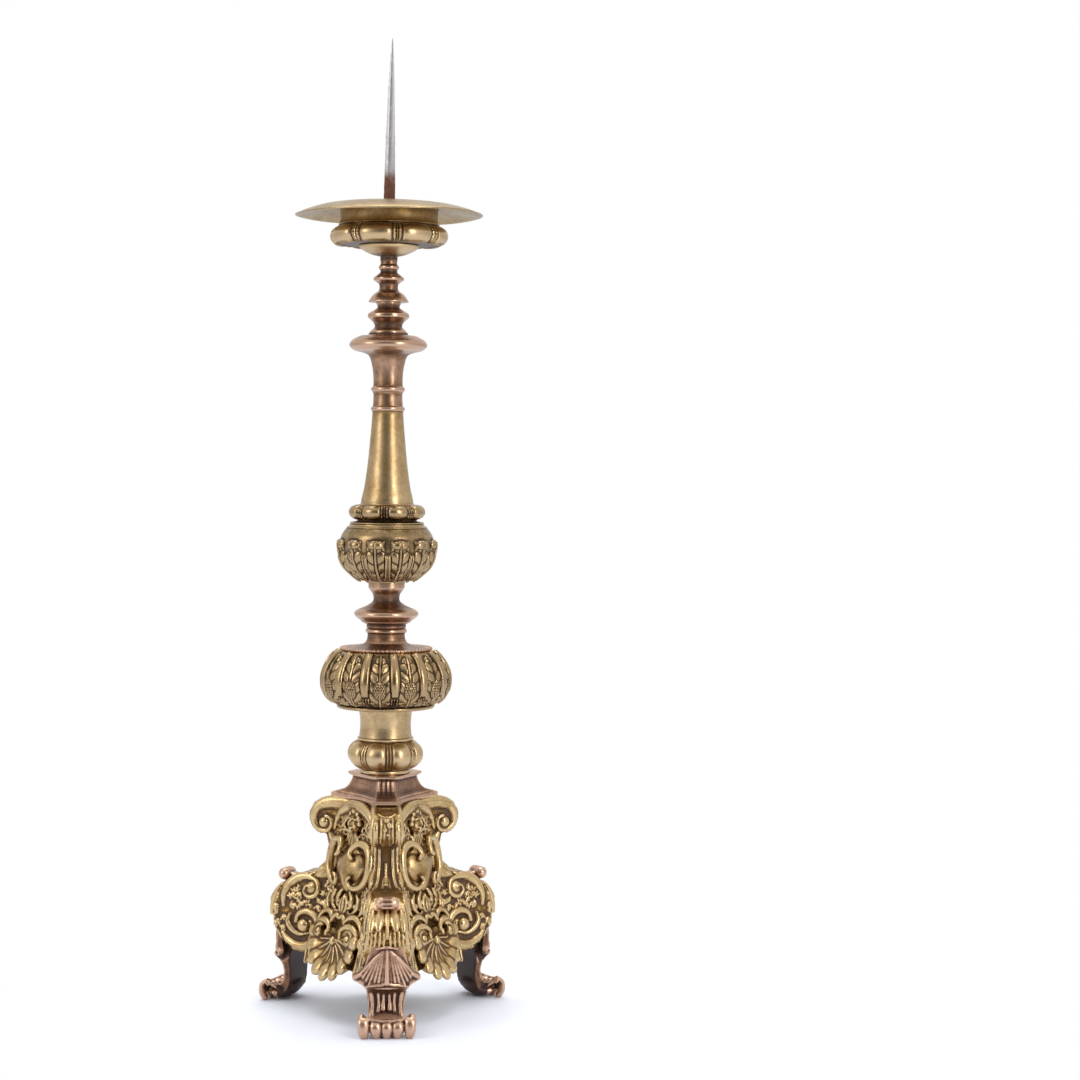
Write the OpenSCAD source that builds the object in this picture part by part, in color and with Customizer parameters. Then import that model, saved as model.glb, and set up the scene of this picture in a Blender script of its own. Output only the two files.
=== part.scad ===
// Tripod pricket candlestick of cast brass and copper alloy.
// A forged iron rod, pointed at its top to take a candle, runs down through a
// stack of turned and chased castings and is drawn tight by a nut inside the
// tripod base. The drip pan is the one piece that the rod doesn't clamp.
// Origin: on the stem's axis at the floor. +Z is up and -Y looks at leg 1.

/* [Tripod base] */
// Height of the brackets and panels, up to the seat of the cap
base_h = 211; // [205:1:222]
// Wall of the cast brackets and panels
base_wall = 4; // [3:0.5:5]
// Width of a scroll bracket under the cap
bracket_top_w = 20; // [18:1:24]
// Width of a scroll bracket at the middle of its lower scroll
bracket_scroll_w = 44; // [40:1:48]
// Radius of a bracket's upper volute
volute_r = 17; // [15:0.5:18]
// Distance from the axis to the middle of the upper volute
volute_at = 63; // [60:1:66]
// Radius of a bracket's lower scroll
scroll_r = 37; // [34:1:39]
// Distance from the axis to the middle of the lower scroll
scroll_at = 80; // [77:1:84]
// Height of the middle of the lower scroll above the floor
scroll_z = 85; // [82:1:90]
// Radius of the hollow throat between volute and scroll
throat_r = 29; // [27:0.5:31]
// Distance from the axis to the bracket's edge at the throat
throat_at = 56; // [54:1:59]
// Distance from the axis to the middle of a panel at its top edge
panel_top_at = 28; // [26:1:30]
// Distance from the axis to the middle of a panel at its bottom edge
panel_foot_at = 57; // [54:1:60]
// Height of a panel's bottom edge above the floor
panel_foot_z = 52; // [48:1:56]

/* [Panel ornament] */
// Height of the middle of the shield above the floor
shield_z = 133; // [128:1:138]
// Width of the shield
shield_w = 36; // [30:1:40]
// Height of the shield
shield_h = 44; // [38:1:48]
// How far the shield stands out from its panel
shield_rise = 10; // [7:1:13]
// Width of the shell at the panel's foot
shell_w = 92; // [80:2:98]
// Flutes of the shell
shell_flutes = 9; // [7:2:11]
// How far the shell stands out from its panel
shell_rise = 15; // [12:1:17]
// Width of the small head over the shield
mask_w = 21; // [18:1:24]
// Thickness of the raised scroll mouldings
scroll_cord = 7; // [6:0.5:8]

/* [Legs] */
// Distance from the axis to the middle of a foot's print on the floor
foot_at = 119; // [116:1:122]
// Width of a foot across its lobes
foot_w = 56; // [50:1:60]
// Lobes across a foot
foot_lobes = 5; // [4:1:6]
// Width of the leg's strap at its neck
leg_w = 33; // [30:1:35]
// Thickness of the strap where it lies in its bracket
strap_t = 6; // [5:0.5:7]
// Width of the strap where it lies in its bracket
strap_w = 29; // [26:1:30]
// Width of the leg across the ears under its bracket
ear_w = 66; // [56:1:70]

/* [Cap] */
// Height of the three-cornered cap
cap_h = 27; // [24:1:30]
// Distance from the axis to a corner of the cap's lower plate
cap_foot_at = 56; // [54:1:60]
// Distance from the axis to a corner of the cap's upper plate
cap_head_at = 37; // [35:1:40]

/* [Stem] */
// Height of the round plinth and lobed knop over the cap
lobed_knop_h = 36; // [33:1:40]
// Largest radius of the lobed knop
lobed_knop_r = 39; // [36:1:42]
// Lobes round the lobed knop
lobed_knop_lobes = 8; // [6:1:10]
// Height of the plain spool over the lobed knop
lower_spool_h = 29; // [26:1:34]
// Radius of the plain spool
lower_spool_r = 25.5; // [24:0.5:28]
// Height of the lower leafed knop
lower_knop_h = 58; // [54:1:62]
// Largest radius of the lower leafed knop
lower_knop_r = 66; // [62:1:70]
// Leaves round the lower knop
lower_knop_leaves = 13; // [12:1:16]
// Height of the flared cover over the lower knop
knop_cover_h = 7; // [6:0.5:9]
// Radius of the flared cover
knop_cover_r = 46; // [42:1:48]
// Height of the ringed baluster between the knops
mid_baluster_h = 59; // [54:1:66]
// Radius of the broad ring on that baluster
mid_ring_r = 32; // [29:1:35]
// Height of the upper leafed knop
upper_knop_h = 59; // [55:1:63]
// Largest radius of the upper leafed knop
upper_knop_r = 49; // [46:1:52]
// Leaves round the upper knop
upper_knop_leaves = 12; // [8:1:12]
// Height of the lobed collar under the column
lobed_collar_h = 21; // [19:1:24]
// Largest radius of the lobed collar
lobed_collar_r = 38.5; // [36:0.5:41]
// Lobes round the collar
lobed_collar_lobes = 8; // [7:1:12]
// Height of the tapered column
column_h = 91; // [80:1:110]
// Radius of the column at its foot
column_foot_r = 26; // [24:0.5:28]
// Radius of the column at its head
column_head_r = 15.5; // [14.5:0.5:17]
// Height of the flanged neck over the column
column_neck_h = 78; // [72:1:84]
// Radius of the flange on that neck
flange_r = 38.5; // [36:0.5:41]
// Height of the lower ringed neck
lower_neck_h = 30.5; // [28:0.5:33]
// Height of the upper ringed neck
upper_neck_h = 41.5; // [38:0.5:45]
// Radius of the widest neck ring
neck_ring_r = 20.5; // [19:0.5:22]
// Thinnest radius of the necks
neck_r = 8.2; // [8:0.1:9]

/* [Pan] */
// Height of the saucer under the cup
saucer_h = 14.5; // [13:0.5:16]
// Radius of the saucer
saucer_r = 30; // [27:0.5:32]
// Height of the bossed ring round the foot of the cup
cup_ring_h = 20.5; // [18:0.5:23]
// How far the bosses stand out past the smooth collar
boss_reach = 9.5; // [8:0.5:12]
// Bosses round the cup
cup_bosses = 8; // [6:1:10]
// Height of the smooth collar over the bossed ring
cup_collar_h = 18.5; // [17:0.5:24]
// Outer radius of the smooth collar
cup_collar_r = 49.5; // [48.5:0.5:51]
// Radius of the drip pan
pan_r = 93; // [88:1:98]
// How far the pan's rim droops below its crown
pan_droop = 11.5; // [9:0.5:14]
// Thickness of the pan
pan_t = 2; // [1.6:0.1:2.6]
// Depth of the well in which the candle stands
well_depth = 10; // [8:0.5:13]

/* [Iron rod] */
// Diameter of the rod inside the stem
rod_d = 8; // [7:0.5:9]
// Thickness of the spike where it leaves the well
spike_w = 12.4; // [11:0.2:14]
// Height of the spike over the floor of the well
spike_h = 173.5; // [150:0.5:180]
// Diameter of the shoulder that bears on the cup
shoulder_d = 30; // [26:1:34]

/* [Hidden] */
$fn = 72;

// Clearances
rod_gap = 0.4;
well_gap = 0.4;
spike_gap = 1.2;
screw_gap = 0.25;

// Where each piece of the stem stands
cap_z = base_h;
lobed_knop_z = cap_z + cap_h;
lower_spool_z = lobed_knop_z + lobed_knop_h;
lower_knop_z = lower_spool_z + lower_spool_h;
knop_cover_z = lower_knop_z + lower_knop_h;
mid_baluster_z = knop_cover_z + knop_cover_h;
upper_knop_z = mid_baluster_z + mid_baluster_h;
lobed_collar_z = upper_knop_z + upper_knop_h;
column_z = lobed_collar_z + lobed_collar_h;
column_neck_z = column_z + column_h;
lower_neck_z = column_neck_z + column_neck_h;
upper_neck_z = lower_neck_z + lower_neck_h;
saucer_z = upper_neck_z + upper_neck_h;
cup_z = saucer_z + saucer_h;
pan_seat_z = cup_z + cup_ring_h + cup_collar_h;
well_floor_z = pan_seat_z + pan_t - well_depth;

bore_r = rod_d / 2 + rod_gap;
stem_wall = 3.5;

// Cup and pan
cup_floor_t = 3.5;
cup_wall = 2.6;
cup_inner_r = cup_collar_r - cup_wall;
cup_ring_r = cup_collar_r + boss_reach;
well_r = cup_inner_r - well_gap;
shoulder_t = 5;

// Base: a bracket stands in the radial plane of each corner
corner_turn = [-90, 30, 150];
face_turn = [-30, 90, 210];
volute_z = base_h - volute_r - 1.5;
bracket_taper = (bracket_scroll_w - bracket_top_w) / 2 / (base_h - scroll_z);
slot_w = strap_w + 0.5;
slot_r = scroll_r - strap_t;
throat_z = scroll_z + sqrt(pow(throat_r + scroll_r, 2) - pow(throat_at + throat_r - scroll_at, 2));
leaf_t = 3;
leaf_top_angle = 42.5;
strap_gap = 0.2;
apron_seat = scroll_at + sqrt(pow(slot_r + 2.5, 2) - pow(scroll_z - 72, 2));

// Iron work inside the base
spider_z = 148;
spider_t = 8;
washer_t = 2.5;
nut_t = 10;
nut_w = 17;
rod_foot_z = spider_z - washer_t - nut_t - 4;
rib_t = 7;

// Screws of the legs and pins of the leaves, as angles round the lower scroll
screw_angles = [-6, -40];
screw_d = 6;
screw_head_d = 11;
screw_head_t = 3.5;
screw_bite = 4.5;
pin_angle = 24;
pin_d = 4;
pin_bite = 4.5;

// ---------------------------------------------------------------- helpers

// A smooth curve through the points p, with n steps in each span
function smooth(p, n = 4) = concat(
    [for (i = [0:len(p) - 2])
        let (a = p[max(i - 1, 0)], b = p[i], c = p[i + 1], d = p[min(i + 2, len(p) - 1)])
        for (k = [0:n - 1])
            let (t = k / n)
            0.5 * (2 * b + (c - a) * t + (2 * a - 5 * b + 4 * c - d) * t * t
                + (3 * b - a - 3 * c + d) * t * t * t)],
    [p[len(p) - 1]]);

// Points of an arc about [x, y], from angle a0 to a1
function arc(x, y, r, a0, a1, n = 8) =
    [for (i = [0:n]) let (a = a0 + (a1 - a0) * i / n) [x + r * cos(a), y + r * sin(a)]];

// An outline of [radius, height] points, lifted by z
function lifted(p, z) = [for (q = p) [q[0], q[1] + z]];

// A turned piece: its outline runs from the foot up, and the rod's bore is open
module turned(outline, bore = bore_r) {
    last = len(outline) - 1;
    rotate_extrude()
        polygon(concat([[bore, outline[0][1]]], outline, [[bore, outline[last][1]]]));
}

// The space inside a hollow casting, from z0 up to z1, one wall in from its outline
module core(outline, z0, z1, wall = stem_wall) {
    inside = [for (q = outline) if (q[1] > z0 && q[1] < z1) [max(q[0] - wall, bore_r + 1), q[1]]];
    last = len(inside) - 1;
    rotate_extrude()
        polygon(concat([[0, z0], [inside[0][0], z0]], inside, [[inside[last][0], z1], [0, z1]]));
}

// A closed skin over rings of n points each, given from the lowest ring up
module skin(rings) {
    n = len(rings[0]);
    m = len(rings);
    sides = [for (i = [0:m - 2]) for (k = [0:n - 1])
        let (a = i * n + k, b = i * n + (k + 1) % n, c = a + n, d = b + n)
        each [[a, c, b], [b, c, d]]];
    foot = [[for (k = [0:n - 1]) k]];
    head = [[for (k = [n - 1:-1:0]) (m - 1) * n + k]];
    polyhedron([for (ring = rings) each ring], concat(foot, sides, head));
}

// A knop with relief: at(u, f) gives how far it stands out, where u runs from -1
// to 1 across each of the parts and f from 0 to 1 up the outline
module relief_knop(outline, parts, steps, at) {
    m = len(outline) - 1;
    n = parts * steps;
    skin([for (i = [0:m]) [for (k = [0:n - 1])
        let (u = 2 * ((k % steps) / steps) - 1 + 1 / steps, a = 360 * k / n,
            r = outline[i][0] + at(u, i / m))
        [r * cos(a), r * sin(a), outline[i][1]]]]);
}

// Places its children in the radial plane of corner i: X points out, Z is up
module at_corner(i) {
    rotate([0, 0, corner_turn[i]]) children();
}

// Places its children on face i: Y points out, X runs along the face
module on_face(i) {
    rotate([0, 0, face_turn[i] - 90]) children();
}

// Stands a drawing of [distance, height] up in the radial plane, w wide
module upright(w) {
    rotate([90, 0, 0]) translate([0, 0, -w / 2]) linear_extrude(w) children();
}

// ---------------------------------------------------------------- iron rod

module pricket_rod() {
    shoulder_z = cup_z + cup_floor_t;
    r = spike_w / 2;
    spike = [[r, 0], [r, well_floor_z - shoulder_z], [r * 0.93, well_floor_z - shoulder_z + 28],
        [r * 0.74, well_floor_z - shoulder_z + spike_h * 0.47],
        [r * 0.5, well_floor_z - shoulder_z + spike_h * 0.74],
        [0.6, well_floor_z - shoulder_z + spike_h]];
    color("dimgray") {
        translate([0, 0, rod_foot_z]) cylinder(d = rod_d, h = shoulder_z - rod_foot_z + 1);
        translate([0, 0, shoulder_z]) cylinder(d = shoulder_d, h = shoulder_t);
        translate([0, 0, shoulder_z]) rotate([0, 0, 22.5])
            rotate_extrude($fn = 8) polygon(concat([[0, 0]], spike, [[0, spike[5][1]]]));
    }
}

// ---------------------------------------------------------------- pan and cup

module drip_pan() {
    crown = pan_seat_z + pan_t;
    top = smooth([[well_r, crown], [cup_collar_r + 2, crown], [pan_r * 0.73, crown - pan_droop * 0.22],
        [pan_r * 0.9, crown - pan_droop * 0.62], [pan_r, crown - pan_droop]], 4);
    under = [for (i = [len(top) - 1:-1:0]) if (top[i][0] > cup_collar_r + 1) [top[i][0] - 0.3, top[i][1] - pan_t]];
    well = [[cup_collar_r + 0.6, pan_seat_z], [well_r, pan_seat_z],
        [well_r, well_floor_z - pan_t + 2], [well_r - 2, well_floor_z - pan_t],
        [spike_w / 2 + spike_gap, well_floor_z - pan_t], [spike_w / 2 + spike_gap, well_floor_z],
        [well_r - pan_t - 2, well_floor_z], [well_r - pan_t, well_floor_z + 2]];
    color("darkgoldenrod") rotate_extrude()
        polygon(concat([[well_r - pan_t, crown - 0.8], [well_r - pan_t + 0.8, crown]],
            [for (i = [1:len(top) - 1]) top[i]], under, well));
}

module pan_cup() {
    ring_mid = cup_ring_h * 0.44;
    ring = lifted(concat([[saucer_r + 6, 0]],
        arc(cup_ring_r - 11, ring_mid, 8.5, -90, 68, 8), [[cup_collar_r, cup_ring_h]]), cup_z);
    boss = function (u, f)
        let (across = 1 - pow(abs(u) / 0.8, 3), up = sin(180 * min(max((f - 0.08) / 0.86, 0), 1)))
        across > 0 ? 2.5 * sqrt(across) * up : 0.4 * up;
    waist = smooth([[cup_collar_r + 1, 0], [cup_collar_r - 1.2, cup_collar_h * 0.3],
        [cup_collar_r - 0.8, cup_collar_h * 0.7], [cup_collar_r, cup_collar_h]], 4);
    color("goldenrod") difference() {
        union() {
            relief_knop(ring, cup_bosses, 10, boss);
            turned(lifted(waist, cup_z + cup_ring_h), cup_inner_r - 4);
        }
        translate([0, 0, cup_z + cup_floor_t])
            cylinder(r = cup_inner_r, h = cup_ring_h + cup_collar_h);
        translate([0, 0, cup_z - 1]) cylinder(r = bore_r, h = cup_floor_t + 2);
    }
}

module pan_saucer() {
    bowl = smooth([[neck_r + 0.6, 0], [neck_r + 1.4, saucer_h * 0.16], [neck_r + 6, saucer_h * 0.34],
        [saucer_r * 0.72, saucer_h * 0.56], [saucer_r, saucer_h * 0.82]], 4);
    color("goldenrod") turned(lifted(concat(bowl, [[saucer_r, saucer_h * 0.92], [saucer_r - 1.2, saucer_h]]),
        saucer_z));
}

// ---------------------------------------------------------------- stem

module upper_neck() {
    h = upper_neck_h;
    low_ring = [[neck_ring_r - 0.8, 0], [neck_ring_r - 0.8, 1], [neck_ring_r * 0.86, h * 0.11],
        [neck_ring_r * 0.7, h * 0.2], [neck_ring_r * 0.5, h * 0.26]];
    spool = [[neck_r + 1.2, h * 0.3], [neck_r + 0.9, h * 0.36], [neck_r + 1.4, h * 0.44]];
    high_ring = [[neck_r + 6.6, h * 0.52], [neck_r + 7, h * 0.57], [neck_r + 5.6, h * 0.61],
        [neck_r + 1.6, h * 0.68], [neck_r, h * 0.72]];
    bead = arc(neck_r - 0.6, h * 0.83, 2.6, -66, 66, 6);
    color("peru") turned(lifted(concat(smooth(low_ring, 3), smooth(spool, 2), smooth(high_ring, 3),
        bead, [[neck_r, h * 0.9], [neck_r, h - 1], [neck_r + 0.6, h]]), upper_neck_z));
}

module lower_neck() {
    h = lower_neck_h;
    cup = smooth([[neck_ring_r - 2.2, 0], [neck_ring_r - 2.6, h * 0.06], [neck_r + 6, h * 0.16],
        [neck_r + 5.5, h * 0.26], [neck_r + 7.2, h * 0.36]], 3);
    ring = smooth([[neck_ring_r - 3, h * 0.42], [neck_ring_r - 0.3, h * 0.5], [neck_ring_r, h * 0.57],
        [neck_ring_r - 0.8, h * 0.64], [neck_ring_r - 5, h * 0.72]], 3);
    spool = smooth([[neck_r + 3.2, h * 0.8], [neck_r + 2.7, h * 0.87], [neck_r + 4, h * 0.95]], 2);
    color("peru") turned(lifted(concat(cup, ring, spool, [[neck_r + 4, h]]), lower_neck_z));
}

module column_neck() {
    h = column_neck_h;
    r = column_head_r;
    foot_bead = arc(r - 1.3, h * 0.035, 2.7, -70, 70, 6);
    band = [[r - 0.8, h * 0.1], [r - 1.2, h * 0.22]];
    high_bead = arc(r - 1.3, h * 0.285, 2.7, -66, 66, 6);
    shaft = smooth([[r - 1, h * 0.335], [r - 0.7, h * 0.48], [r + 0.8, h * 0.6],
        [r + 3.2, h * 0.7], [flange_r * 0.6, h * 0.74], [flange_r * 0.87, h * 0.775]], 4);
    flange = smooth([[flange_r * 0.9, h * 0.785], [flange_r * 0.985, h * 0.82], [flange_r, h * 0.86],
        [flange_r * 0.93, h * 0.91], [flange_r * 0.76, h * 0.955], [flange_r * 0.7, h * 0.965]], 3);
    color("peru") turned(lifted(concat(foot_bead, band, high_bead, shaft, flange,
        [[neck_ring_r - 1, h * 0.975], [neck_ring_r - 1, h]]), column_neck_z));
}

module column() {
    h = column_h;
    outline = smooth([[column_foot_r, 0], [column_foot_r - 0.4, h * 0.05], [column_foot_r - 3, h * 0.17],
        [column_foot_r - 6.2, h * 0.42], [column_head_r + 2, h * 0.68], [column_head_r, h * 0.95],
        [column_head_r + 0.2, h]], 4);
    placed = lifted(outline, column_z);
    color("darkgoldenrod") difference() {
        turned(placed);
        core(placed, column_z + 6, column_z + h - 8);
    }
}

module lobed_collar() {
    h = lobed_collar_h;
    r = lobed_collar_r;
    body = lifted(concat([[r * 0.78, h * 0.02], [r * 0.76, h * 0.24]],
        arc(r - 9, h * 0.62, 7, -80, 74, 8), [[column_foot_r + 1.5, h * 0.97]]), lobed_collar_z);
    lobe = function (u, f)
        let (across = 1 - pow(abs(u) / 0.86, 4), up = sin(180 * min(max((f - 0.18) / 0.8, 0), 1)))
        across > 0 ? 2 * sqrt(across) * up : 0;
    foot = lifted([[r * 0.97, 0], [r * 0.97, h * 0.08], [r * 0.8, h * 0.14]], lobed_collar_z);
    color("goldenrod") difference() {
        union() {
            relief_knop(body, lobed_collar_lobes, 8, lobe);
            turned(foot, r * 0.5);
            translate([0, 0, lobed_collar_z + h * 0.9]) cylinder(r = column_foot_r + 1, h = h * 0.1);
        }
        translate([0, 0, lobed_collar_z - 1]) cylinder(r = bore_r, h = h + 2);
    }
}

module upper_knop() {
    h = upper_knop_h;
    r = upper_knop_r;
    body = smooth([[r * 0.4, 0], [r * 0.6, h * 0.035], [r * 0.72, h * 0.13], [r * 0.85, h * 0.28],
        [r * 0.93, h * 0.45], [r * 0.95, h * 0.6], [r * 0.92, h * 0.74], [r * 0.84, h * 0.86],
        [r * 0.76, h * 0.95]], 2);
    leaf = function (u, f)
        let (width = 0.98 - 0.3 * pow(f, 3), across = 1 - pow(abs(u) / width, 4),
            up = f < 0.82 ? sin(110 * f / 0.82) : 0, curl = f > 0.62 && f < 0.84 ? 1.4 : 0)
        across > 0 ? (2.6 * up + curl) * sqrt(across) : 0;
    placed = lifted(body, upper_knop_z);
    color("darkgoldenrod") difference() {
        union() {
            relief_knop(placed, upper_knop_leaves, 8, leaf);
            translate([0, 0, upper_knop_z + h * 0.92]) cylinder(r = r * 0.775, h = h * 0.08);
        }
        core(placed, upper_knop_z + 7, upper_knop_z + h - 6);
        translate([0, 0, upper_knop_z - 1]) cylinder(r = bore_r, h = h + 2);
    }
}

module mid_baluster() {
    h = mid_baluster_h;
    r = mid_ring_r;
    foot = [[21, 0], [19.2, h * 0.05], [18.7, h * 0.09]];
    bead = arc(18, h * 0.2, 2.6, -80, 76, 6);
    recess = [[19.6, h * 0.26], [19.6, h * 0.31], [24.5, h * 0.35]];
    ring = smooth([[25, h * 0.37], [r * 0.94, h * 0.43], [r, h * 0.49], [r * 0.92, h * 0.55],
        [r * 0.66, h * 0.61]], 3);
    waist = smooth([[18, h * 0.64], [14, h * 0.69], [12.9, h * 0.74], [13.6, h * 0.82], [16.6, h * 0.89],
        [18, h * 0.93]], 3);
    color("peru") turned(lifted(concat(foot, bead, recess, ring, waist, [[18, h]]), mid_baluster_z));
}

module knop_cover() {
    h = knop_cover_h;
    r = knop_cover_r;
    color("peru") turned(lifted(concat([[r - 1, 0], [r, 1.2]], smooth([[r - 0.5, 2.2], [r * 0.78, h * 0.42],
        [r * 0.56, h * 0.68], [22, h * 0.9], [21, h]], 3)), knop_cover_z));
}

module lower_knop() {
    h = lower_knop_h;
    r = lower_knop_r;
    body = smooth([[r * 0.74, h * 0.07], [r * 0.8, h * 0.12], [r * 0.9, h * 0.24], [r * 0.955, h * 0.42],
        [r * 0.955, h * 0.58], [r * 0.9, h * 0.75], [r * 0.8, h * 0.89], [r * 0.64, h]], 2);
    leaf = function (u, f)
        let (up = sin(180 * min(max((f - 0.03) / 0.92, 0), 1)),
            tongue = 1 - pow(u / 0.4, 4), side = 1 - pow((abs(u) - 0.72) / 0.24, 4))
        tongue > 0 ? 2.9 * sqrt(tongue) * up : side > 0 ? 2.1 * sqrt(side) * up : 0;
    foot = lifted([[r * 0.72, 0], [r * 0.735, 1.2], [r * 0.735, h * 0.06], [r * 0.7, h * 0.08]], lower_knop_z);
    placed = lifted(body, lower_knop_z);
    color("darkgoldenrod") difference() {
        union() {
            relief_knop(placed, lower_knop_leaves, 8, leaf);
            turned(foot, r * 0.3);
            translate([0, 0, lower_knop_z]) cylinder(r = r * 0.4, h = h * 0.1);
        }
        core(placed, lower_knop_z + 8, lower_knop_z + h - 5);
        translate([0, 0, lower_knop_z - 1]) cylinder(r = bore_r, h = h + 2);
    }
}

module lower_spool() {
    h = lower_spool_h;
    r = lower_spool_r;
    outline = concat([[r + 0.8, 0]], smooth([[r + 0.5, h * 0.08], [r - 0.2, h * 0.35], [r + 0.2, h * 0.7],
        [r + 1.4, h * 0.92]], 3), [[r + 2, h]]);
    placed = lifted(outline, lower_spool_z);
    color("gold") difference() {
        turned(placed);
        core(placed, lower_spool_z + 5, lower_spool_z + h - 5);
    }
}

module lobed_knop() {
    h = lobed_knop_h;
    r = lobed_knop_r;
    plinth_h = h * 0.12;
    body = smooth([[r * 0.6, plinth_h], [r * 0.76, h * 0.22], [r * 0.89, h * 0.38], [r * 0.93, h * 0.54],
        [r * 0.88, h * 0.7], [r * 0.76, h * 0.84], [r * 0.68, h * 0.93]], 2);
    lobe = function (u, f)
        let (across = 1 - pow(abs(u) / 0.84, 4), up = sin(180 * min(max((f - 0.02) / 0.94, 0), 1)))
        across > 0 ? 2.8 * sqrt(across) * up : 0;
    placed = lifted(body, lobed_knop_z);
    color("gold") difference() {
        union() {
            relief_knop(placed, lobed_knop_lobes, 10, lobe);
            translate([0, 0, lobed_knop_z]) cylinder(r = r * 0.62, h = plinth_h + 1);
            translate([0, 0, lobed_knop_z + h * 0.88]) cylinder(r = lower_spool_r + 0.8, h = h * 0.12);
        }
        core(placed, lobed_knop_z + 8, lobed_knop_z + h - 6);
        translate([0, 0, lobed_knop_z - 1]) cylinder(r = bore_r, h = h + 2);
    }
}

// ---------------------------------------------------------------- cap

// Plan of a three-cornered plate: corners cut w wide at distance at, hollow sides
// whose middle is m from the axis
function plan(at, w, m, n = 7) =
    let (x = at * cos(30) - w / 4, y = at / 2 + w / 2 * cos(30), rise = y - m,
        r = (x * x + rise * rise) / (2 * rise), reach = asin(x / r))
    [for (i = [0:2]) let (turn = face_turn[i] - 90) for (k = [0:n])
        let (a = reach - 2 * reach * k / n, px = r * sin(a), py = m + r - r * cos(a))
        [px * cos(turn) - py * sin(turn), px * sin(turn) + py * cos(turn)]];

module tripod_cap() {
    w = bracket_top_w;
    low = cap_foot_at;
    high = cap_head_at;
    mid = panel_top_at;
    levels = [[0, low - 2, w, mid], [1.6, low, w + 1, mid + 2], [4.6, low, w + 1, mid + 2],
        [6.4, low - 6, w, mid], [8.2, high + 4, w - 1, mid - 3], [cap_h * 0.5, high - 2.5, w - 2, mid - 4.5],
        [cap_h * 0.8, high - 5.5, w - 3, mid - 5.5], [cap_h * 0.84, high - 4, w - 2, mid - 4.5],
        [cap_h * 0.88, high, w - 1, mid - 2.5], [cap_h - 1, high, w - 1, mid - 2.5],
        [cap_h, high - 1, w - 2, mid - 3]];
    color("rosybrown") difference() {
        skin([for (l = levels) [for (q = plan(l[1], l[2], l[3])) [q[0], q[1], cap_z + l[0]]]]);
        translate([0, 0, cap_z - 1]) cylinder(r = mid - 10, h = cap_h * 0.7);
        translate([0, 0, cap_z]) cylinder(r = bore_r, h = cap_h + 1);
    }
}

// ---------------------------------------------------------------- brackets

// Half the bracket's width at height z
function half_w(z) = bracket_top_w / 2 + (base_h - z) * bracket_taper;

// The tapered slab that a bracket fills, narrower by inset on each side
module bracket_slab(inset = 0) {
    foot = half_w(-5) - inset;
    head = half_w(base_h + 5) - inset;
    rotate([90, 0, 90]) linear_extrude(height = 200)
        polygon([[foot, -5], [head, base_h + 5], [-head, base_h + 5], [-foot, -5]]);
}

// Side view of a bracket, m in from its outline
module bracket_side(m = 0) {
    translate([scroll_at, scroll_z]) circle(r = scroll_r - m);
    translate([volute_at, volute_z]) circle(r = volute_r - m);
    difference() {
        polygon([[panel_top_at, base_h - m], [volute_at - 4, base_h - m],
            [volute_at + 3, volute_z], [throat_at + throat_r, throat_z], [scroll_at, scroll_z],
            [scroll_at - scroll_r, scroll_z], [panel_top_at, volute_z]]);
        translate([throat_at + throat_r, throat_z]) circle(r = throat_r + m);
    }
}

// Side view of the bracket's hollow, open towards the stem's axis
module bracket_hollow_side() {
    reach = throat_at - base_wall - 8;
    translate([scroll_at, scroll_z]) circle(r = slot_r - base_wall);
    translate([-1, scroll_z - slot_r * 0.6]) square([reach, base_h - base_wall - scroll_z + slot_r * 0.6]);
    intersection() {
        bracket_side(base_wall);
        translate([0, scroll_z + slot_r]) square([200, 200]);
    }
}

// Lays a drawing of [distance, height] on the flank of a bracket
module on_flank(side) {
    translate([0, side * (half_w(0) - 0.4), 0]) rotate([90 + side * atan(bracket_taper), 0, 0]) children();
}

// Part of a round moulding: a cord bent to radius r, from angle a through the given sweep
module moulding(r, a, sweep, cord) {
    rotate([0, 0, a]) rotate_extrude(angle = sweep) translate([r, 0]) circle(d = cord, $fn = 24);
}

// The scrolls on one flank: the volute, and the two eyes of the lower scroll
module flank_scrolls() {
    translate([volute_at, volute_z]) {
        moulding(volute_r - 4, -120, 210, scroll_cord - 1);
        sphere(d = scroll_cord + 3, $fn = 24);
    }
    translate([scroll_at + 3, scroll_z - scroll_r * 0.34]) {
        moulding(scroll_r * 0.38, -175, 250, scroll_cord);
        sphere(d = scroll_cord + 4, $fn = 24);
    }
    translate([scroll_at - 1, scroll_z + scroll_r * 0.5]) {
        moulding(scroll_r * 0.27, -70, 260, scroll_cord - 1.5);
        sphere(d = scroll_cord + 1, $fn = 24);
    }
    translate([scroll_at, scroll_z]) moulding(scroll_r - 4.5, -50, 100, scroll_cord - 1.5);
}

// The ridges and beads down the throat, and the reeds round the volute
module bracket_front() {
    throat = [throat_at + throat_r, 0, throat_z];
    for (side = [-1, 1])
        translate(throat + [0, side * (half_w(throat_z) - 3.4), 0]) rotate([90, 0, 0])
            moulding(throat_r, 128, 100, 5);
    for (k = [0:6])
        translate(throat + [-throat_r * cos(36 - 12 * k), 0, throat_r * sin(36 - 12 * k)])
            sphere(d = 5 + 0.5 * k, $fn = 24);
    for (k = [-1.5:1:1.5])
        translate([volute_at, k * 5.6, volute_z]) rotate([90, 0, 0])
            moulding(volute_r - 1.6, -110, 130, 6.4);
}

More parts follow.
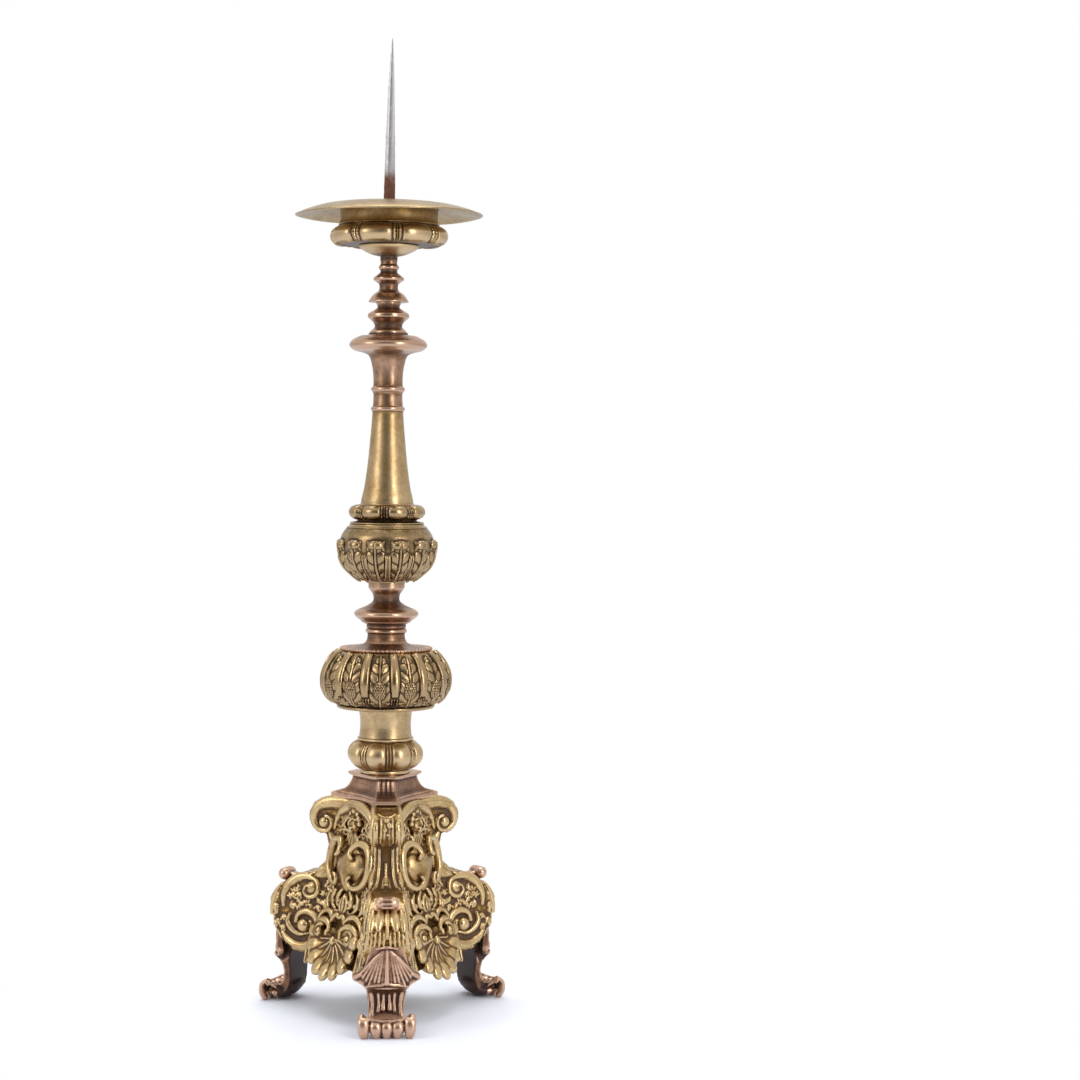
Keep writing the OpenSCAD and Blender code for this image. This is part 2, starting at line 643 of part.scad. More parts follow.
module scroll_bracket(i) {
    color("darkgoldenrod") at_corner(i) difference() {
        union() {
            intersection() {
                upright(200) bracket_side();
                bracket_slab();
            }
            for (side = [-1, 1]) on_flank(side) flank_scrolls();
            bracket_front();
        }
        difference() {
            intersection() {
                upright(200) bracket_hollow_side();
                bracket_slab(base_wall);
            }
            translate([0, -50, spider_z + spider_t]) cube([200, 100, rib_t]);
        }
        translate([scroll_at, 0, scroll_z]) {
            rotate([90, 0, 0]) translate([0, 0, -slot_w / 2]) rotate([0, 0, -100])
                rotate_extrude(angle = 168) translate([slot_r, 0]) square([strap_t + 8, slot_w]);
            for (a = screw_angles) rotate([0, 90 - a, 0]) {
                cylinder(d = screw_d + 2 * screw_gap, h = slot_r + 1);
                cylinder(d = screw_head_d + 1, h = slot_r - base_wall + 0.8);
            }
        }
    }
}

// ---------------------------------------------------------------- panels

// Distance from the axis to the middle of a panel's face at height z
function panel_at(z) =
    let (f = (base_h - z) / (base_h - panel_foot_z))
    panel_top_at + (panel_foot_at - panel_top_at) * (0.35 * f + 0.65 * f * f);

// Tilt of the panel's face from upright at height z
function panel_lean(z) = atan((panel_at(z - 1) - panel_at(z + 1)) / 2);

// Lays a drawing on the panel's face, [x, z] being its middle: Y up, Z outwards
module on_panel(x, z, out = 0) {
    translate([x, panel_at(z) + out, z])
        rotate([panel_lean(z), 0, 0]) rotate([90, 0, 180]) children();
}

// The bare panel: its face flares towards its foot
module panel_wall() {
    steps = 10;
    heights = [for (k = [0:steps]) panel_foot_z + (base_h - panel_foot_z) * k / steps];
    face = [for (z = heights) [panel_at(z), z]];
    back = [for (k = [steps:-1:0]) face[k] - [base_wall, 0]];
    rotate([90, 0, 90]) linear_extrude(height = 240, center = true) polygon(concat(face, back));
}

// Half of the shield's outline, w by h
function shield_edge(w, h) = smooth([[0, -h / 2], [w * 0.16, -h * 0.38], [w * 0.38, -h * 0.16],
    [w * 0.5, h * 0.14], [w * 0.46, h * 0.36], [w * 0.26, h * 0.5], [0, h * 0.42]], 3);

module shield() {
    half = shield_edge(shield_w, shield_h);
    ball = (pow(shield_h / 2, 2) + pow(shield_rise, 2)) / (2 * shield_rise);
    intersection() {
        translate([0, 0, -2]) linear_extrude(shield_rise + 4)
            polygon(concat(half, [for (k = [len(half) - 2:-1:1]) [-half[k][0], half[k][1]]]));
        translate([0, 0, shield_rise - ball]) sphere(r = ball);
    }
}

// The C-shaped scroll beside the shield, with a ball in the eye at each end
module c_scroll() {
    r = shield_h * 0.55;
    eye = shield_h * 0.14;
    turn = 62;
    moulding(r, -turn, 2 * turn, scroll_cord);
    for (s = [-1, 1])
        translate([(r - eye) * cos(turn), s * (r - eye * 0.4) * sin(turn), 0])
            sphere(r = eye + scroll_cord * 0.2, $fn = 32);
}

// The fluted shell at the panel's foot: its grooves fan out from the hinge at its top
module shell() {
    fan = 150;
    lobe_r = shell_w * 0.088;
    reach = shell_w / 2 - lobe_r;
    ball = (pow(shell_w / 2, 2) + pow(shell_rise, 2)) / (2 * shell_rise);
    middle = -reach * 0.45;
    tip = asin(middle / ball);
    difference() {
        intersection() {
            translate([0, 0, -base_wall]) linear_extrude(shell_rise + base_wall + 5) {
                for (k = [0:shell_flutes - 1])
                    rotate(-90 - fan / 2 + fan * k / (shell_flutes - 1)) translate([reach, 0])
                        circle(r = lobe_r, $fn = 32);
                circle(r = reach * 0.99);
            }
            translate([0, middle, shell_rise - ball]) sphere(r = ball);
        }
        translate([0, middle, shell_rise - ball]) rotate([tip, 0, 0])
            for (k = [0.5:shell_flutes - 1.5])
                rotate([0, 0, -90 - fan / 2 + fan * k / (shell_flutes - 1)]) rotate([90, 0, 0])
                    moulding(ball + 0.4, 50, 36, 3.2);
    }
    translate([0, 0, shell_rise - 5]) sphere(d = 15, $fn = 32);
}

module side_panel(i) {
    shell_z = panel_foot_z + 24;
    color("darkgoldenrod") on_face(i) difference() {
        intersection() {
            union() {
                panel_wall();
                on_panel(0, shield_z) shield();
                for (s = [-1, 1])
                    on_panel(s * 5.5, shield_z, 0.5) mirror([s > 0 ? 1 : 0, 0, 0]) c_scroll();
                on_panel(0, shell_z, 1) shell();
                for (s = [-1, 1])
                    on_panel(s * 13, shell_z + 21, 0.5) mirror([s > 0 ? 1 : 0, 0, 0])
                        sphere(r = 8, $fn = 32);
                on_panel(0, base_h - mask_w * 0.8, 0.5) {
                    sphere(d = mask_w, $fn = 32);
                    for (s = [-1, 1])
                        translate([s * mask_w * 0.62, -mask_w * 0.3, -1]) sphere(d = mask_w * 0.6, $fn = 24);
                }
            }
            linear_extrude(base_h) polygon([[0, 0.5], [260, 150.5], [260, 300], [-260, 300], [-260, 150.5]]);
        }
        for (a = [30, 150]) rotate([0, 0, a]) bracket_slab();
    }
}

// ---------------------------------------------------------------- leaves and legs

// The acanthus leaf that lies on the strap over the lower scroll
module corner_leaf(i) {
    top = scroll_z + scroll_r * sin(leaf_top_angle);
    foot = scroll_z + scroll_r * sin(1);
    tall = top - foot;
    w = bracket_scroll_w * 0.92;
    color("goldenrod") at_corner(i) difference() {
        union() {
            intersection() {
                translate([scroll_at, 0, 0]) rotate([90, 0, 90]) linear_extrude(100) {
                    polygon([[-w * 0.14, top], [w * 0.14, top], [w * 0.34, foot + tall * 0.4],
                        [w * 0.34, foot + 4], [0, foot], [-w * 0.34, foot + 4], [-w * 0.34, foot + tall * 0.4]]);
                    for (s = [-1, 1]) {
                        translate([s * w * 0.4, foot + tall * 0.22]) circle(r = w * 0.1, $fn = 32);
                        translate([s * w * 0.34, foot + tall * 0.46]) circle(r = w * 0.11, $fn = 32);
                        translate([s * w * 0.24, foot + tall * 0.7]) circle(r = w * 0.1, $fn = 32);
                        translate([s * w * 0.24, foot + tall * 0.08]) circle(r = w * 0.09, $fn = 32);
                    }
                }
                upright(60) translate([scroll_at, scroll_z]) difference() {
                    circle(r = scroll_r + leaf_t);
                    circle(r = scroll_r + strap_gap);
                }
            }
            translate([scroll_at, 0, scroll_z]) rotate([90, 0, 0]) moulding(scroll_r + leaf_t, 4, leaf_top_angle - 8, 3.6);
        }
        translate([scroll_at, 0, scroll_z]) rotate([0, 90 - pin_angle, 0])
            cylinder(d = pin_d, h = scroll_r + leaf_t - 0.8);
    }
}

// Side view of the leg from the curl over its bracket down to the neck
module strap_side() {
    front = smooth([[scroll_at + scroll_r * cos(-32), scroll_z + scroll_r * sin(-32)],
        [foot_at - 6, 58], [foot_at - 3, 51.5], [foot_at - 2.5, 47]], 3);
    recess = smooth([[foot_at - 8, 43.5], [foot_at - 12, 38], [foot_at - 13.5, 30],
        [foot_at - 12.5, 22], [foot_at - 6, 14]], 3);
    back = smooth([[foot_at - 6, 2], [foot_at - 15, 8], [foot_at - 20, 18], [foot_at - 21, 30],
        [foot_at - 20.5, 42], [foot_at - 22, 52]], 3);
    polygon(concat(
        arc(scroll_at, scroll_z, scroll_r, 62, -28, 24), front, recess, back,
        arc(scroll_at, scroll_z, slot_r + strap_gap, -64, 62, 30)));
    curl_at = [scroll_at + (scroll_r + 15) * cos(51), scroll_z + (scroll_r + 15) * sin(51)];
    translate(curl_at) circle(r = 7);
    inner_r = slot_r + strap_gap;
    polygon([[scroll_at + inner_r * cos(60), scroll_z + inner_r * sin(60)],
        curl_at + [-7, 1], curl_at + [-2, 6], curl_at + [5, -4],
        [scroll_at + scroll_r * cos(44), scroll_z + scroll_r * sin(44)]]);
}

// Half of the leg's front view, as [half width, height]
function leg_edge() = concat([[7.5, 140], [8.5, 119], [strap_w / 2, 112], [strap_w / 2, 64]],
    smooth([[leg_w / 2 + 1, 52], [leg_w / 2 + 4, 46], [leg_w / 2 + 3, 40], [leg_w / 2, 30],
        [leg_w / 2 - 0.5, 20], [leg_w / 2 + 1, 8]], 3), [[leg_w / 2 + 1, -1]]);

// Half of the front view of the apron, with its ears
function apron_edge() = smooth([[strap_w / 2 - 2, 72], [strap_w / 2 + 3, 65.5], [ear_w * 0.4, 60.5],
    [ear_w / 2, 59], [ear_w / 2 - 0.6, 56], [ear_w * 0.42, 52.5], [leg_w / 2 + 6, 49], [leg_w / 2 + 4, 46]], 3);

// A front view of [half width, height] points, mirrored about the middle
module front_view(edge) {
    rotate([90, 0, 90]) linear_extrude(200)
        polygon(concat(edge, [for (k = [len(edge) - 1:-1:0]) [-edge[k][0], edge[k][1]]]));
}

// The foot: a spoon with a lobed, rolled tip
module foot() {
    spoon = concat([[foot_at - 6, 0], [foot_at + 6, 0]], smooth([[foot_at + 10, 3], [foot_at + 12, 10],
        [foot_at + 11.5, 17], [foot_at + 9, 19], [foot_at + 5, 14.5], [foot_at, 12.5],
        [foot_at - 6, 14], [foot_at - 12, 21]], 3), smooth([[foot_at - 19, 20], [foot_at - 14.5, 7.5],
        [foot_at - 6, 0]], 3));
    half = smooth([[foot_at - 22, leg_w / 2 - 1], [foot_at - 12, leg_w / 2], [foot_at - 4, foot_w * 0.4],
        [foot_at + 4, foot_w / 2 - 0.5], [foot_at + 10, foot_w / 2], [foot_at + 13, foot_w / 2 - 3]], 3);
    intersection() {
        upright(foot_w + 4) polygon(spoon);
        linear_extrude(60)
            polygon(concat(half, [for (k = [len(half) - 1:-1:0]) [half[k][0], -half[k][1]]]));
    }
    pitch = foot_w / foot_lobes;
    for (k = [0:foot_lobes - 1])
        let (t = (k - (foot_lobes - 1) / 2) * pitch, outer = abs(t) > foot_w / 2 - pitch)
            translate([foot_at + 1, t * (outer ? 0.97 : 1), outer ? 13.5 : 12]) rotate([90, 0, 0])
                moulding(outer ? 8.6 : 7.6, -96, outer ? 156 : 142, pitch * 0.86);
}

module leg(i) {
    color("rosybrown") at_corner(i) difference() {
        union() {
            intersection() {
                upright(80) strap_side();
                front_view(leg_edge());
            }
            intersection() {
                upright(80) polygon(concat(
                    smooth([[foot_at - 6.6, 72], [foot_at - 7.2, 65.5], [foot_at - 6, 58], [foot_at - 3, 51.5],
                        [foot_at - 2.5, 46]], 3),
                    smooth([[foot_at - 8, 46], [foot_at - 8, 51.5], [foot_at - 9.8, 58], [foot_at - 9.6, 66]], 3),
                    [[apron_seat, 72]]));
                front_view(apron_edge());
            }
            foot();
        }
        for (s = [-1, 1])
            translate([scroll_at, s * (slot_w / 2 + 50), scroll_z]) rotate([90, 0, 0])
                cylinder(r = scroll_r + 0.3, h = 100, center = true);
        translate([0, -100, -20]) cube([300, 200, 20]);
        translate([scroll_at, 0, scroll_z]) {
            for (a = screw_angles) rotate([0, 90 - a, 0]) cylinder(d = screw_d, h = slot_r + screw_bite);
            rotate([0, 90 - pin_angle, 0]) translate([0, 0, scroll_r - pin_bite])
                cylinder(d = pin_d, h = pin_bite + 2);
        }
    }
}

module leg_screws() {
    seat = slot_r - base_wall + 0.8;
    color("gray") for (i = [0:2]) at_corner(i)
        translate([scroll_at, 0, scroll_z])
            for (a = screw_angles) rotate([0, 90 - a, 0]) {
                translate([0, 0, seat - screw_head_t]) cylinder(d = screw_head_d, h = screw_head_t);
                translate([0, 0, seat - 1]) cylinder(d = screw_d, h = slot_r + screw_bite - seat + 1);
            }
}

module leaf_pins() {
    color("goldenrod") for (i = [0:2]) at_corner(i)
        translate([scroll_at, 0, scroll_z]) rotate([0, 90 - pin_angle, 0])
            translate([0, 0, scroll_r - pin_bite]) cylinder(d = pin_d, h = pin_bite + leaf_t - 0.8);
}

// ---------------------------------------------------------------- iron work in the base

module tie_spider() {
    arm_r = throat_at - base_wall - 2;
    arm_w = 2 * (half_w(spider_z + spider_t) - base_wall) - 1.5;
    color("dimgray") difference() {
        union() {
            translate([0, 0, spider_z]) cylinder(r = panel_top_at * 0.7, h = spider_t);
            for (i = [0:2]) at_corner(i) translate([0, -arm_w / 2, spider_z]) cube([arm_r, arm_w, spider_t]);
        }
        translate([0, 0, spider_z - 1]) cylinder(r = bore_r, h = spider_t + 2);
    }
}

module tie_washer() {
    color("gray") translate([0, 0, spider_z - washer_t]) difference() {
        cylinder(d = nut_w * 1.5, h = washer_t);
        translate([0, 0, -1]) cylinder(r = bore_r, h = washer_t + 2);
    }
}

module tie_nut() {
    color("gray") translate([0, 0, spider_z - washer_t - nut_t]) difference() {
        cylinder(d = nut_w / cos(30), h = nut_t, $fn = 6);
        translate([0, 0, -1]) cylinder(d = rod_d, h = nut_t + 2);
    }
}

pricket_rod();
drip_pan();
pan_cup();
pan_saucer();
upper_neck();
lower_neck();
column_neck();
column();
lobed_collar();
upper_knop();
mid_baluster();
knop_cover();
lower_knop();
lower_spool();
lobed_knop();
tripod_cap();
side_panel(0);  // side_panel_1
side_panel(1);  // side_panel_2
side_panel(2);  // side_panel_3
scroll_bracket(0);  // scroll_bracket_1
scroll_bracket(1);  // scroll_bracket_2
scroll_bracket(2);  // scroll_bracket_3
corner_leaf(0);  // corner_leaf_1
corner_leaf(1);  // corner_leaf_2
corner_leaf(2);  // corner_leaf_3
leg(0);  // leg_1
leg(1);  // leg_2
leg(2);  // leg_3
leg_screws();
leaf_pins();
tie_spider();
tie_washer();
tie_nut();
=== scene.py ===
# %% [markdown]
# This file dresses a tall pricket candlestick of cast brass and copper alloy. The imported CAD
# model is the frame: it gives each piece its size and place, and each new piece made here takes
# the place of a plainer solid. Lengths are metres; drawings of ornament are in millimetres.

# %% Frame and the model's own box
import bpy
import bmesh
import math
import numpy as np
from mathutils import Matrix, Vector


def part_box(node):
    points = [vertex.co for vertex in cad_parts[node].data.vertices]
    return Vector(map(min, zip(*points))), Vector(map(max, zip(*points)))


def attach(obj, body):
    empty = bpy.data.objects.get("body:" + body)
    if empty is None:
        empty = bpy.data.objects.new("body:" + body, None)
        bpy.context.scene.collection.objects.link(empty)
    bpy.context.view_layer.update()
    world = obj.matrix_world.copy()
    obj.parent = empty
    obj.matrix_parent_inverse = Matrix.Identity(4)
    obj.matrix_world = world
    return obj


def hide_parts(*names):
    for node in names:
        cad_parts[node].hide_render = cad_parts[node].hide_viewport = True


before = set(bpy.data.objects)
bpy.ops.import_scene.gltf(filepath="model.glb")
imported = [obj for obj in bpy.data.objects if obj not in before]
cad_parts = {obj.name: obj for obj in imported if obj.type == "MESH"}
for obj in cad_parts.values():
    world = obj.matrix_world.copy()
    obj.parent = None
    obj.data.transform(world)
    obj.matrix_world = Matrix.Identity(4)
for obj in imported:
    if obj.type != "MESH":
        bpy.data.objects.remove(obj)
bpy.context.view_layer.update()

# %% [markdown]
# Colours are written as the sRGB hex values of a colour chart, and one function turns them into
# the linear values that shaders compute with. A second one adds a shader node and its links.

# %% Colour and shader helpers
def linear(code, alpha=1.0):
    """sRGB hex, such as "B08D57", as linear RGBA."""
    parts = [int(code[i:i + 2], 16) / 255 for i in (0, 2, 4)]
    return [c / 12.92 if c <= 0.04045 else ((c + 0.055) / 1.055) ** 2.4 for c in parts] + [alpha]


def add(tree, kind, settings=None, **inputs):
    """Adds a node. An input is named, or numbered as i0, i1; it takes a value or another node's output."""
    n = tree.nodes.new(kind)
    for key, value in (settings or {}).items():
        setattr(n, key, value)
    for key, value in inputs.items():
        numbered = key[0] == "i" and key[1:].isdigit()
        socket = n.inputs[int(key[1:]) if numbered else key.replace("_", " ")]
        if isinstance(value, bpy.types.NodeSocket):
            tree.links.new(value, socket)
        else:
            socket.default_value = value
    return n


def ramp(tree, fac, stops):
    """A colour ramp with (position, colour) stops."""
    n = add(tree, "ShaderNodeValToRGB", Fac=fac)
    while len(n.color_ramp.elements) < len(stops):
        n.color_ramp.elements.new(0.5)
    for element, (position, colour) in zip(n.color_ramp.elements, stops):
        element.position = position
        element.color = colour
    return n.outputs["Color"]

# %% [markdown]
# The metals. Old cast brass is polished by handling on everything that stands out, and keeps a
# brown film of oxide and wax in the hollows. A point's attribute of wear and painted shade says how
# far it stands out, so the colour, the roughness and the metal itself follow the carving; painted
# shade laid into it, as on the backs of the legs, darkens them too. The copper-rich castings are the
# same with a redder metal, and the forged spike is grey with rust at its foot.

# %% Metals
def new_material(name):
    """An empty material and its node tree."""
    mat = bpy.data.materials.new(name)
    mat.use_nodes = True
    mat.node_tree.nodes.clear()
    return mat, mat.node_tree


def casting(name, bright, middle, hollow, grain_mm=2.2, rough=(0.22, 0.5), film=0.9):
    """A cast and chased metal: bright where it is rubbed, with a brown film in its hollows, and dark where
    painted shade is laid in.
    """
    mat, t = new_material(name)
    place = add(t, "ShaderNodeTexCoord").outputs["Object"]
    wear_and_shade = add(t, "ShaderNodeAttribute", {"attribute_name": "wear_and_shade"}).outputs["Fac"]
    def noise(scale, detail, rough):
        return add(t, "ShaderNodeTexNoise", Vector=place, Scale=scale, Detail=detail,
                   Roughness=rough).outputs["Fac"]

    def maths(operation, a, b, c=None, clamp=False):
        more = {} if c is None else {"i2": c}
        return add(t, "ShaderNodeMath", {"operation": operation, "use_clamp": clamp}, i0=a, i1=b,
                   **more).outputs[0]

    # slow changes of tone, 30 mm across, the grain of the casting, and stains a few mm across
    tone = noise(33.0, 4.0, 0.6)
    grain = noise(1000 / grain_mm, 3.0, 0.7)
    spots = noise(210.0, 5.0, 0.75)
    level = maths("ADD", wear_and_shade, maths("MULTIPLY_ADD", tone, 0.5, -0.25))
    level = maths("ADD", level, maths("MULTIPLY_ADD", spots, 0.5, -0.25), clamp=True)
    colour = ramp(t, level, [(0.14, linear(hollow)), (0.42, linear(middle)), (0.72, linear(bright))])
    metal = add(t, "ShaderNodeMapRange", {"clamp": True}, Value=level, From_Min=0.1, From_Max=0.4,
                To_Min=1.0 - film, To_Max=1.0).outputs[0]
    gloss = add(t, "ShaderNodeMapRange", {"clamp": True}, Value=level, From_Min=0.15, From_Max=0.75,
                To_Min=rough[1], To_Max=rough[0]).outputs[0]
    gloss = maths("SUBTRACT", maths("MULTIPLY_ADD", grain, 0.16, gloss, clamp=True), 0.06, clamp=True)
    bump = add(t, "ShaderNodeBump", Height=grain, Strength=0.12, Distance=0.0003).outputs[0]
    bump = add(t, "ShaderNodeBump", Height=tone, Strength=0.25, Distance=0.0012, Normal=bump).outputs[0]
    shader = add(t, "ShaderNodeBsdfPrincipled", Base_Color=colour, Metallic=metal, Roughness=gloss,
                 Normal=bump)
    add(t, "ShaderNodeOutputMaterial", Surface=shader.outputs[0])
    return mat


BRASS = casting("brass_cast_chased", "C6AB7E", "7F5E2E", "4C3013", rough=(0.26, 0.5))
BRASS_KNOP = casting("brass_knops_dark", "A38A66", "55401F", "341F0B", rough=(0.24, 0.48))
BRASS_SMOOTH = casting("brass_turned", "BDA37C", "8A6B3B", "41290F", grain_mm=1.2, rough=(0.3, 0.46))
BRASS_SHEET = casting("brass_spun_sheet", "A38C66", "7C6236", "422C10", grain_mm=1.5, rough=(0.25, 0.45))
COPPER = casting("copper_alloy_cast", "C6A48C", "89664E", "34190F", rough=(0.28, 0.5))
COPPER_TURNED = casting("copper_alloy_turned", "B8977E", "836249", "38200F", grain_mm=1.2,
                        rough=(0.24, 0.44))
IRON = casting("iron_forged", "D2CFD0", "A39D9C", "6E4434", grain_mm=1.6, rough=(0.34, 0.6), film=0.5)
STEEL = casting("steel_screw_turned", "A7A49F", "7F7C78", "4A4642", grain_mm=1.0)
print("metals", len(bpy.data.materials))

# %% [markdown]
# Every finished piece is hung under an empty for the body it moves with, and the solids it stands
# for are hidden. A CAD node's mesh is loose triangles, so a copy with its doubles merged is shown in its
# place.

# %% Helpers for pieces
def put(obj, body, slot, *nodes):
    """Hangs the finished piece under the body it rides on and hides the nodes that it stands for; slot, its
    finish, is not used.
    """
    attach(obj, body)
    if nodes:
        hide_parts(*nodes)
    return obj


def mesh_object(name, verts, faces, material, smooth=True):
    """A new object from arrays of points and faces."""
    mesh = bpy.data.meshes.new(name)
    mesh.from_pydata([tuple(v) for v in verts], [], [tuple(int(i) for i in f) for f in faces])
    mesh.update()
    if smooth:
        mesh.polygons.foreach_set("use_smooth", [True] * len(mesh.polygons))
    mesh.materials.append(material)
    obj = bpy.data.objects.new(name, mesh)
    bpy.context.scene.collection.objects.link(obj)
    return obj


def shade(obj, degrees):
    """Smooth shading, broken at edges sharper than the angle."""
    obj.data.polygons.foreach_set("use_smooth", [True] * len(obj.data.polygons))
    obj.data.set_sharp_from_angle(angle=math.radians(degrees))


def set_wear_and_shade(obj, values):
    """Stores how far each point stands out, 0 in a deep hollow and 1 on a rubbed edge, with any painted shade
    laid over it.
    """
    old = obj.data.attributes.get("wear_and_shade")
    if old:
        obj.data.attributes.remove(old)
    layer = obj.data.attributes.new("wear_and_shade", "FLOAT", "POINT")
    layer.data.foreach_set("value", np.clip(np.asarray(values, dtype=np.float32), 0, 1))


def wear_and_shade_of(obj):
    """What set_wear_and_shade stored."""
    values = np.zeros(len(obj.data.vertices))
    obj.data.attributes["wear_and_shade"].data.foreach_get("value", values)
    return values


def points(obj, what="co"):
    """The mesh's points, or their normals, as an array."""
    flat = np.empty(len(obj.data.vertices) * 3)
    obj.data.vertices.foreach_get(what, flat)
    return flat.reshape(-1, 3)


def move_points(obj, where):
    """Puts the mesh's points at new places."""
    obj.data.vertices.foreach_set("co", np.asarray(where).ravel())
    obj.data.update()


def settle(obj):
    """Makes what the modifiers show the object's own mesh, and takes the modifiers off."""
    done = bpy.data.meshes.new_from_object(obj.evaluated_get(bpy.context.evaluated_depsgraph_get()))
    obj.modifiers.clear()
    done.name = obj.name
    obj.data = done
    return obj


def edge_ends(mesh):
    """The two point numbers of each edge, as two arrays."""
    ends = np.empty(len(mesh.edges) * 2, dtype=np.int64)
    mesh.edges.foreach_get("vertices", ends)
    return ends.reshape(-1, 2).T


def copy_of(node, name, material, degrees=35):
    """A merged and smoothed copy of a CAD node."""
    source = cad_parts[node]
    bm = bmesh.new()
    bm.from_mesh(source.data)
    bmesh.ops.remove_doubles(bm, verts=bm.verts, dist=1e-6)
    mesh = bpy.data.meshes.new(name)
    bm.to_mesh(mesh)
    bm.free()
    mesh.materials.clear()
    mesh.materials.append(material)
    obj = bpy.data.objects.new(name, mesh)
    bpy.context.scene.collection.objects.link(obj)
    shade(obj, degrees)
    return obj

# %% [markdown]
# How worn a point is follows from the shape: a point that stands proud of its smoothed
# surroundings has been rubbed, and one that lies below them keeps its film. Two sizes of
# surroundings are compared, so that both a vein and a whole hollow are seen.

# %% Wear from shape
def wear_from_shape(obj, rounds=(6, 30), gains=(2.2, 0.9), base=0.6, unit=1000.0):
    """Fills "worn" by comparing each point with a smoothed copy of the mesh. unit turns its lengths to mm."""
    p = points(obj) * unit
    n = len(p)
    a, b = edge_ends(obj.data)
    count = np.maximum(np.bincount(a, minlength=n) + np.bincount(b, minlength=n), 1)
    normals = points(obj, "normal")
    smooth, done, out = p.copy(), 0, np.full(n, base)
    for target, gain in zip(rounds, gains):
        for _ in range(target - done):
            total = np.stack([np.bincount(a, smooth[b, k], n) + np.bincount(b, smooth[a, k], n)
                              for k in range(3)], 1)
            smooth = 0.5 * smooth + 0.5 * total / count[:, None]
        done = target
        proud = np.einsum("ij,ij->i", p - smooth, normals)
        out += np.clip(proud * gain, -0.45, 0.4)
    set_wear_and_shade(obj, out)


# %% [markdown]
# Reliefs on round pieces. A leafed or lobed knop is a profile turned round the stem's axis, with
# its surface pushed out by the height of the carving. The carving is drawn once, on one sector,
# in millimetres across and up, and repeated round the knop. A grid fine enough to hold a vein
# is pushed, and the bore inside closes it.

# %% Profiles and reliefs on round pieces
BORE = 4.4                               # mm; radius of the hole that the rod runs through


def curve(pts, n):
    """n points of a smooth curve through pts, evenly spaced along its length."""
    pts = np.asarray(pts, float)
    ends = np.vstack([2 * pts[0] - pts[1], pts, 2 * pts[-1] - pts[-2]])
    fine = []
    for i in range(len(pts) - 1):
        p0, p1, p2, p3 = ends[i:i + 4]
        for t in np.linspace(0, 1, 24, endpoint=False):
            fine.append(0.5 * (2 * p1 + (p2 - p0) * t + (2 * p0 - 5 * p1 + 4 * p2 - p3) * t ** 2
                               + (3 * p1 - p0 - 3 * p2 + p3) * t ** 3))
    fine = np.array(fine + [pts[-1]])
    run = run_of(fine)
    at = np.linspace(0, run[-1], n)
    return np.stack([np.interp(at, run, fine[:, k]) for k in range(fine.shape[1])], 1)


def run_of(line):
    """Distance along a line from its start to each of its points."""
    return np.concatenate([[0], np.cumsum(np.linalg.norm(np.diff(line, axis=0), axis=1))])


def directions(line):
    """The unit direction of a line at each of its points."""
    along = np.gradient(line, axis=0)
    return along / np.linalg.norm(along, axis=1)[:, None]


def angles(n):
    """n angles spaced evenly round a circle."""
    return 2 * math.pi * np.arange(n) / n


def bump(d, w):
    """A round ridge: 1 on its middle line, 0 at distance w and beyond."""
    return np.sqrt(np.clip(1 - (d / w) ** 2, 0, None))


def step(x, a, b):
    """Eases from 0 at a to 1 at b."""
    t = np.clip((x - a) / (b - a), 0, 1)
    return t * t * (3 - 2 * t)


def grid_faces(rows, around, closed=True):
    """Faces over rows of points, each row a closed ring. closed joins the last row to the first."""
    k = np.arange(around)
    nxt = (k + 1) % around
    return np.vstack([np.stack([i * around + k, i * around + nxt, j * around + nxt, j * around + k], 1)
                      for i, j in ((i, (i + 1) % rows) for i in range(rows if closed else rows - 1))])


def ring_of(profile, around, relief, name, material, parts=1, turn=0.0, inside=None):
    """Turns a profile (mm) round the axis, pushes it out by relief(x, y, u) and closes it inside.
    x is mm across a sector, y mm up the profile from its start, u runs from -1 to 1 across it, and
    turn is in degrees."""
    prof = np.asarray(profile, float)
    y = run_of(prof)
    tangent = directions(prof)
    out = np.stack([tangent[:, 1], -tangent[:, 0]], 1)
    ang = angles(around)
    u = ((ang * parts / (2 * math.pi)) % 1.0) * 2 - 1
    u = np.where(np.abs(u) < 2e-3, 2e-3, u)
    Y, U = np.meshgrid(y, u, indexing="ij")
    R = prof[:, 0][:, None] + 0 * U
    X = U * math.pi * R / parts
    h = relief(X, Y, U) if relief else 0 * X
    rr = prof[:, 0][:, None] + h * out[:, 0][:, None]
    zz = prof[:, 1][:, None] + h * out[:, 1][:, None]
    ang = ang + math.radians(turn)
    cos, sin = np.cos(ang)[None], np.sin(ang)[None]
    grid = np.stack([rr * cos, rr * sin, zz + 0 * cos], 2).reshape(-1, 3)
    inner = [np.stack([r * cos[0], r * sin[0], np.full(around, z)], 1)
             for r, z in inside or ((BORE, prof[-1][1]), (BORE, prof[0][1]))]
    return mesh_object(name, np.vstack([grid] + inner) / 1000,
                       grid_faces(len(prof) + len(inner), around), material)


def acanthus(x, y, length, width, lobes=5, lean=0.45, rib=1.0):
    """Height, 0 to 1, of an acanthus leaf that grows along +y from y = 0. Its lobes lean to the tip."""
    t = y / length
    body = np.sin(math.pi * np.clip(0.16 + 0.82 * t, 0, 1)) ** 0.55
    phase = t * lobes - lean * lobes * np.abs(x) / length * 1.2
    saw = phase - np.floor(phase)
    edge = width / 2 * body * (0.74 + 0.3 * np.sin(math.pi * saw) ** 0.6)
    inside = (np.abs(x) < edge) & (t > 0) & (t < 1)
    d = 1 - np.abs(x) / np.maximum(edge, 1e-3)
    dome = np.clip(d, 0, 1) ** 0.42
    veins = 1 - 0.42 * (1 - np.sin(math.pi * saw) ** 0.8) * step(np.abs(x), 0.3 * rib, 2.2 * rib)
    ridge = 0.3 * np.exp(-(x / (0.8 * rib)) ** 2)
    groove = -0.25 * (np.exp(-((np.abs(x) - 1.9 * rib) / (0.6 * rib)) ** 2))
    tip = 1 + 0.35 * step(t, 0.72, 0.97)
    return np.where(inside, np.clip(dome * veins * tip + ridge + groove, 0.12, None), 0)

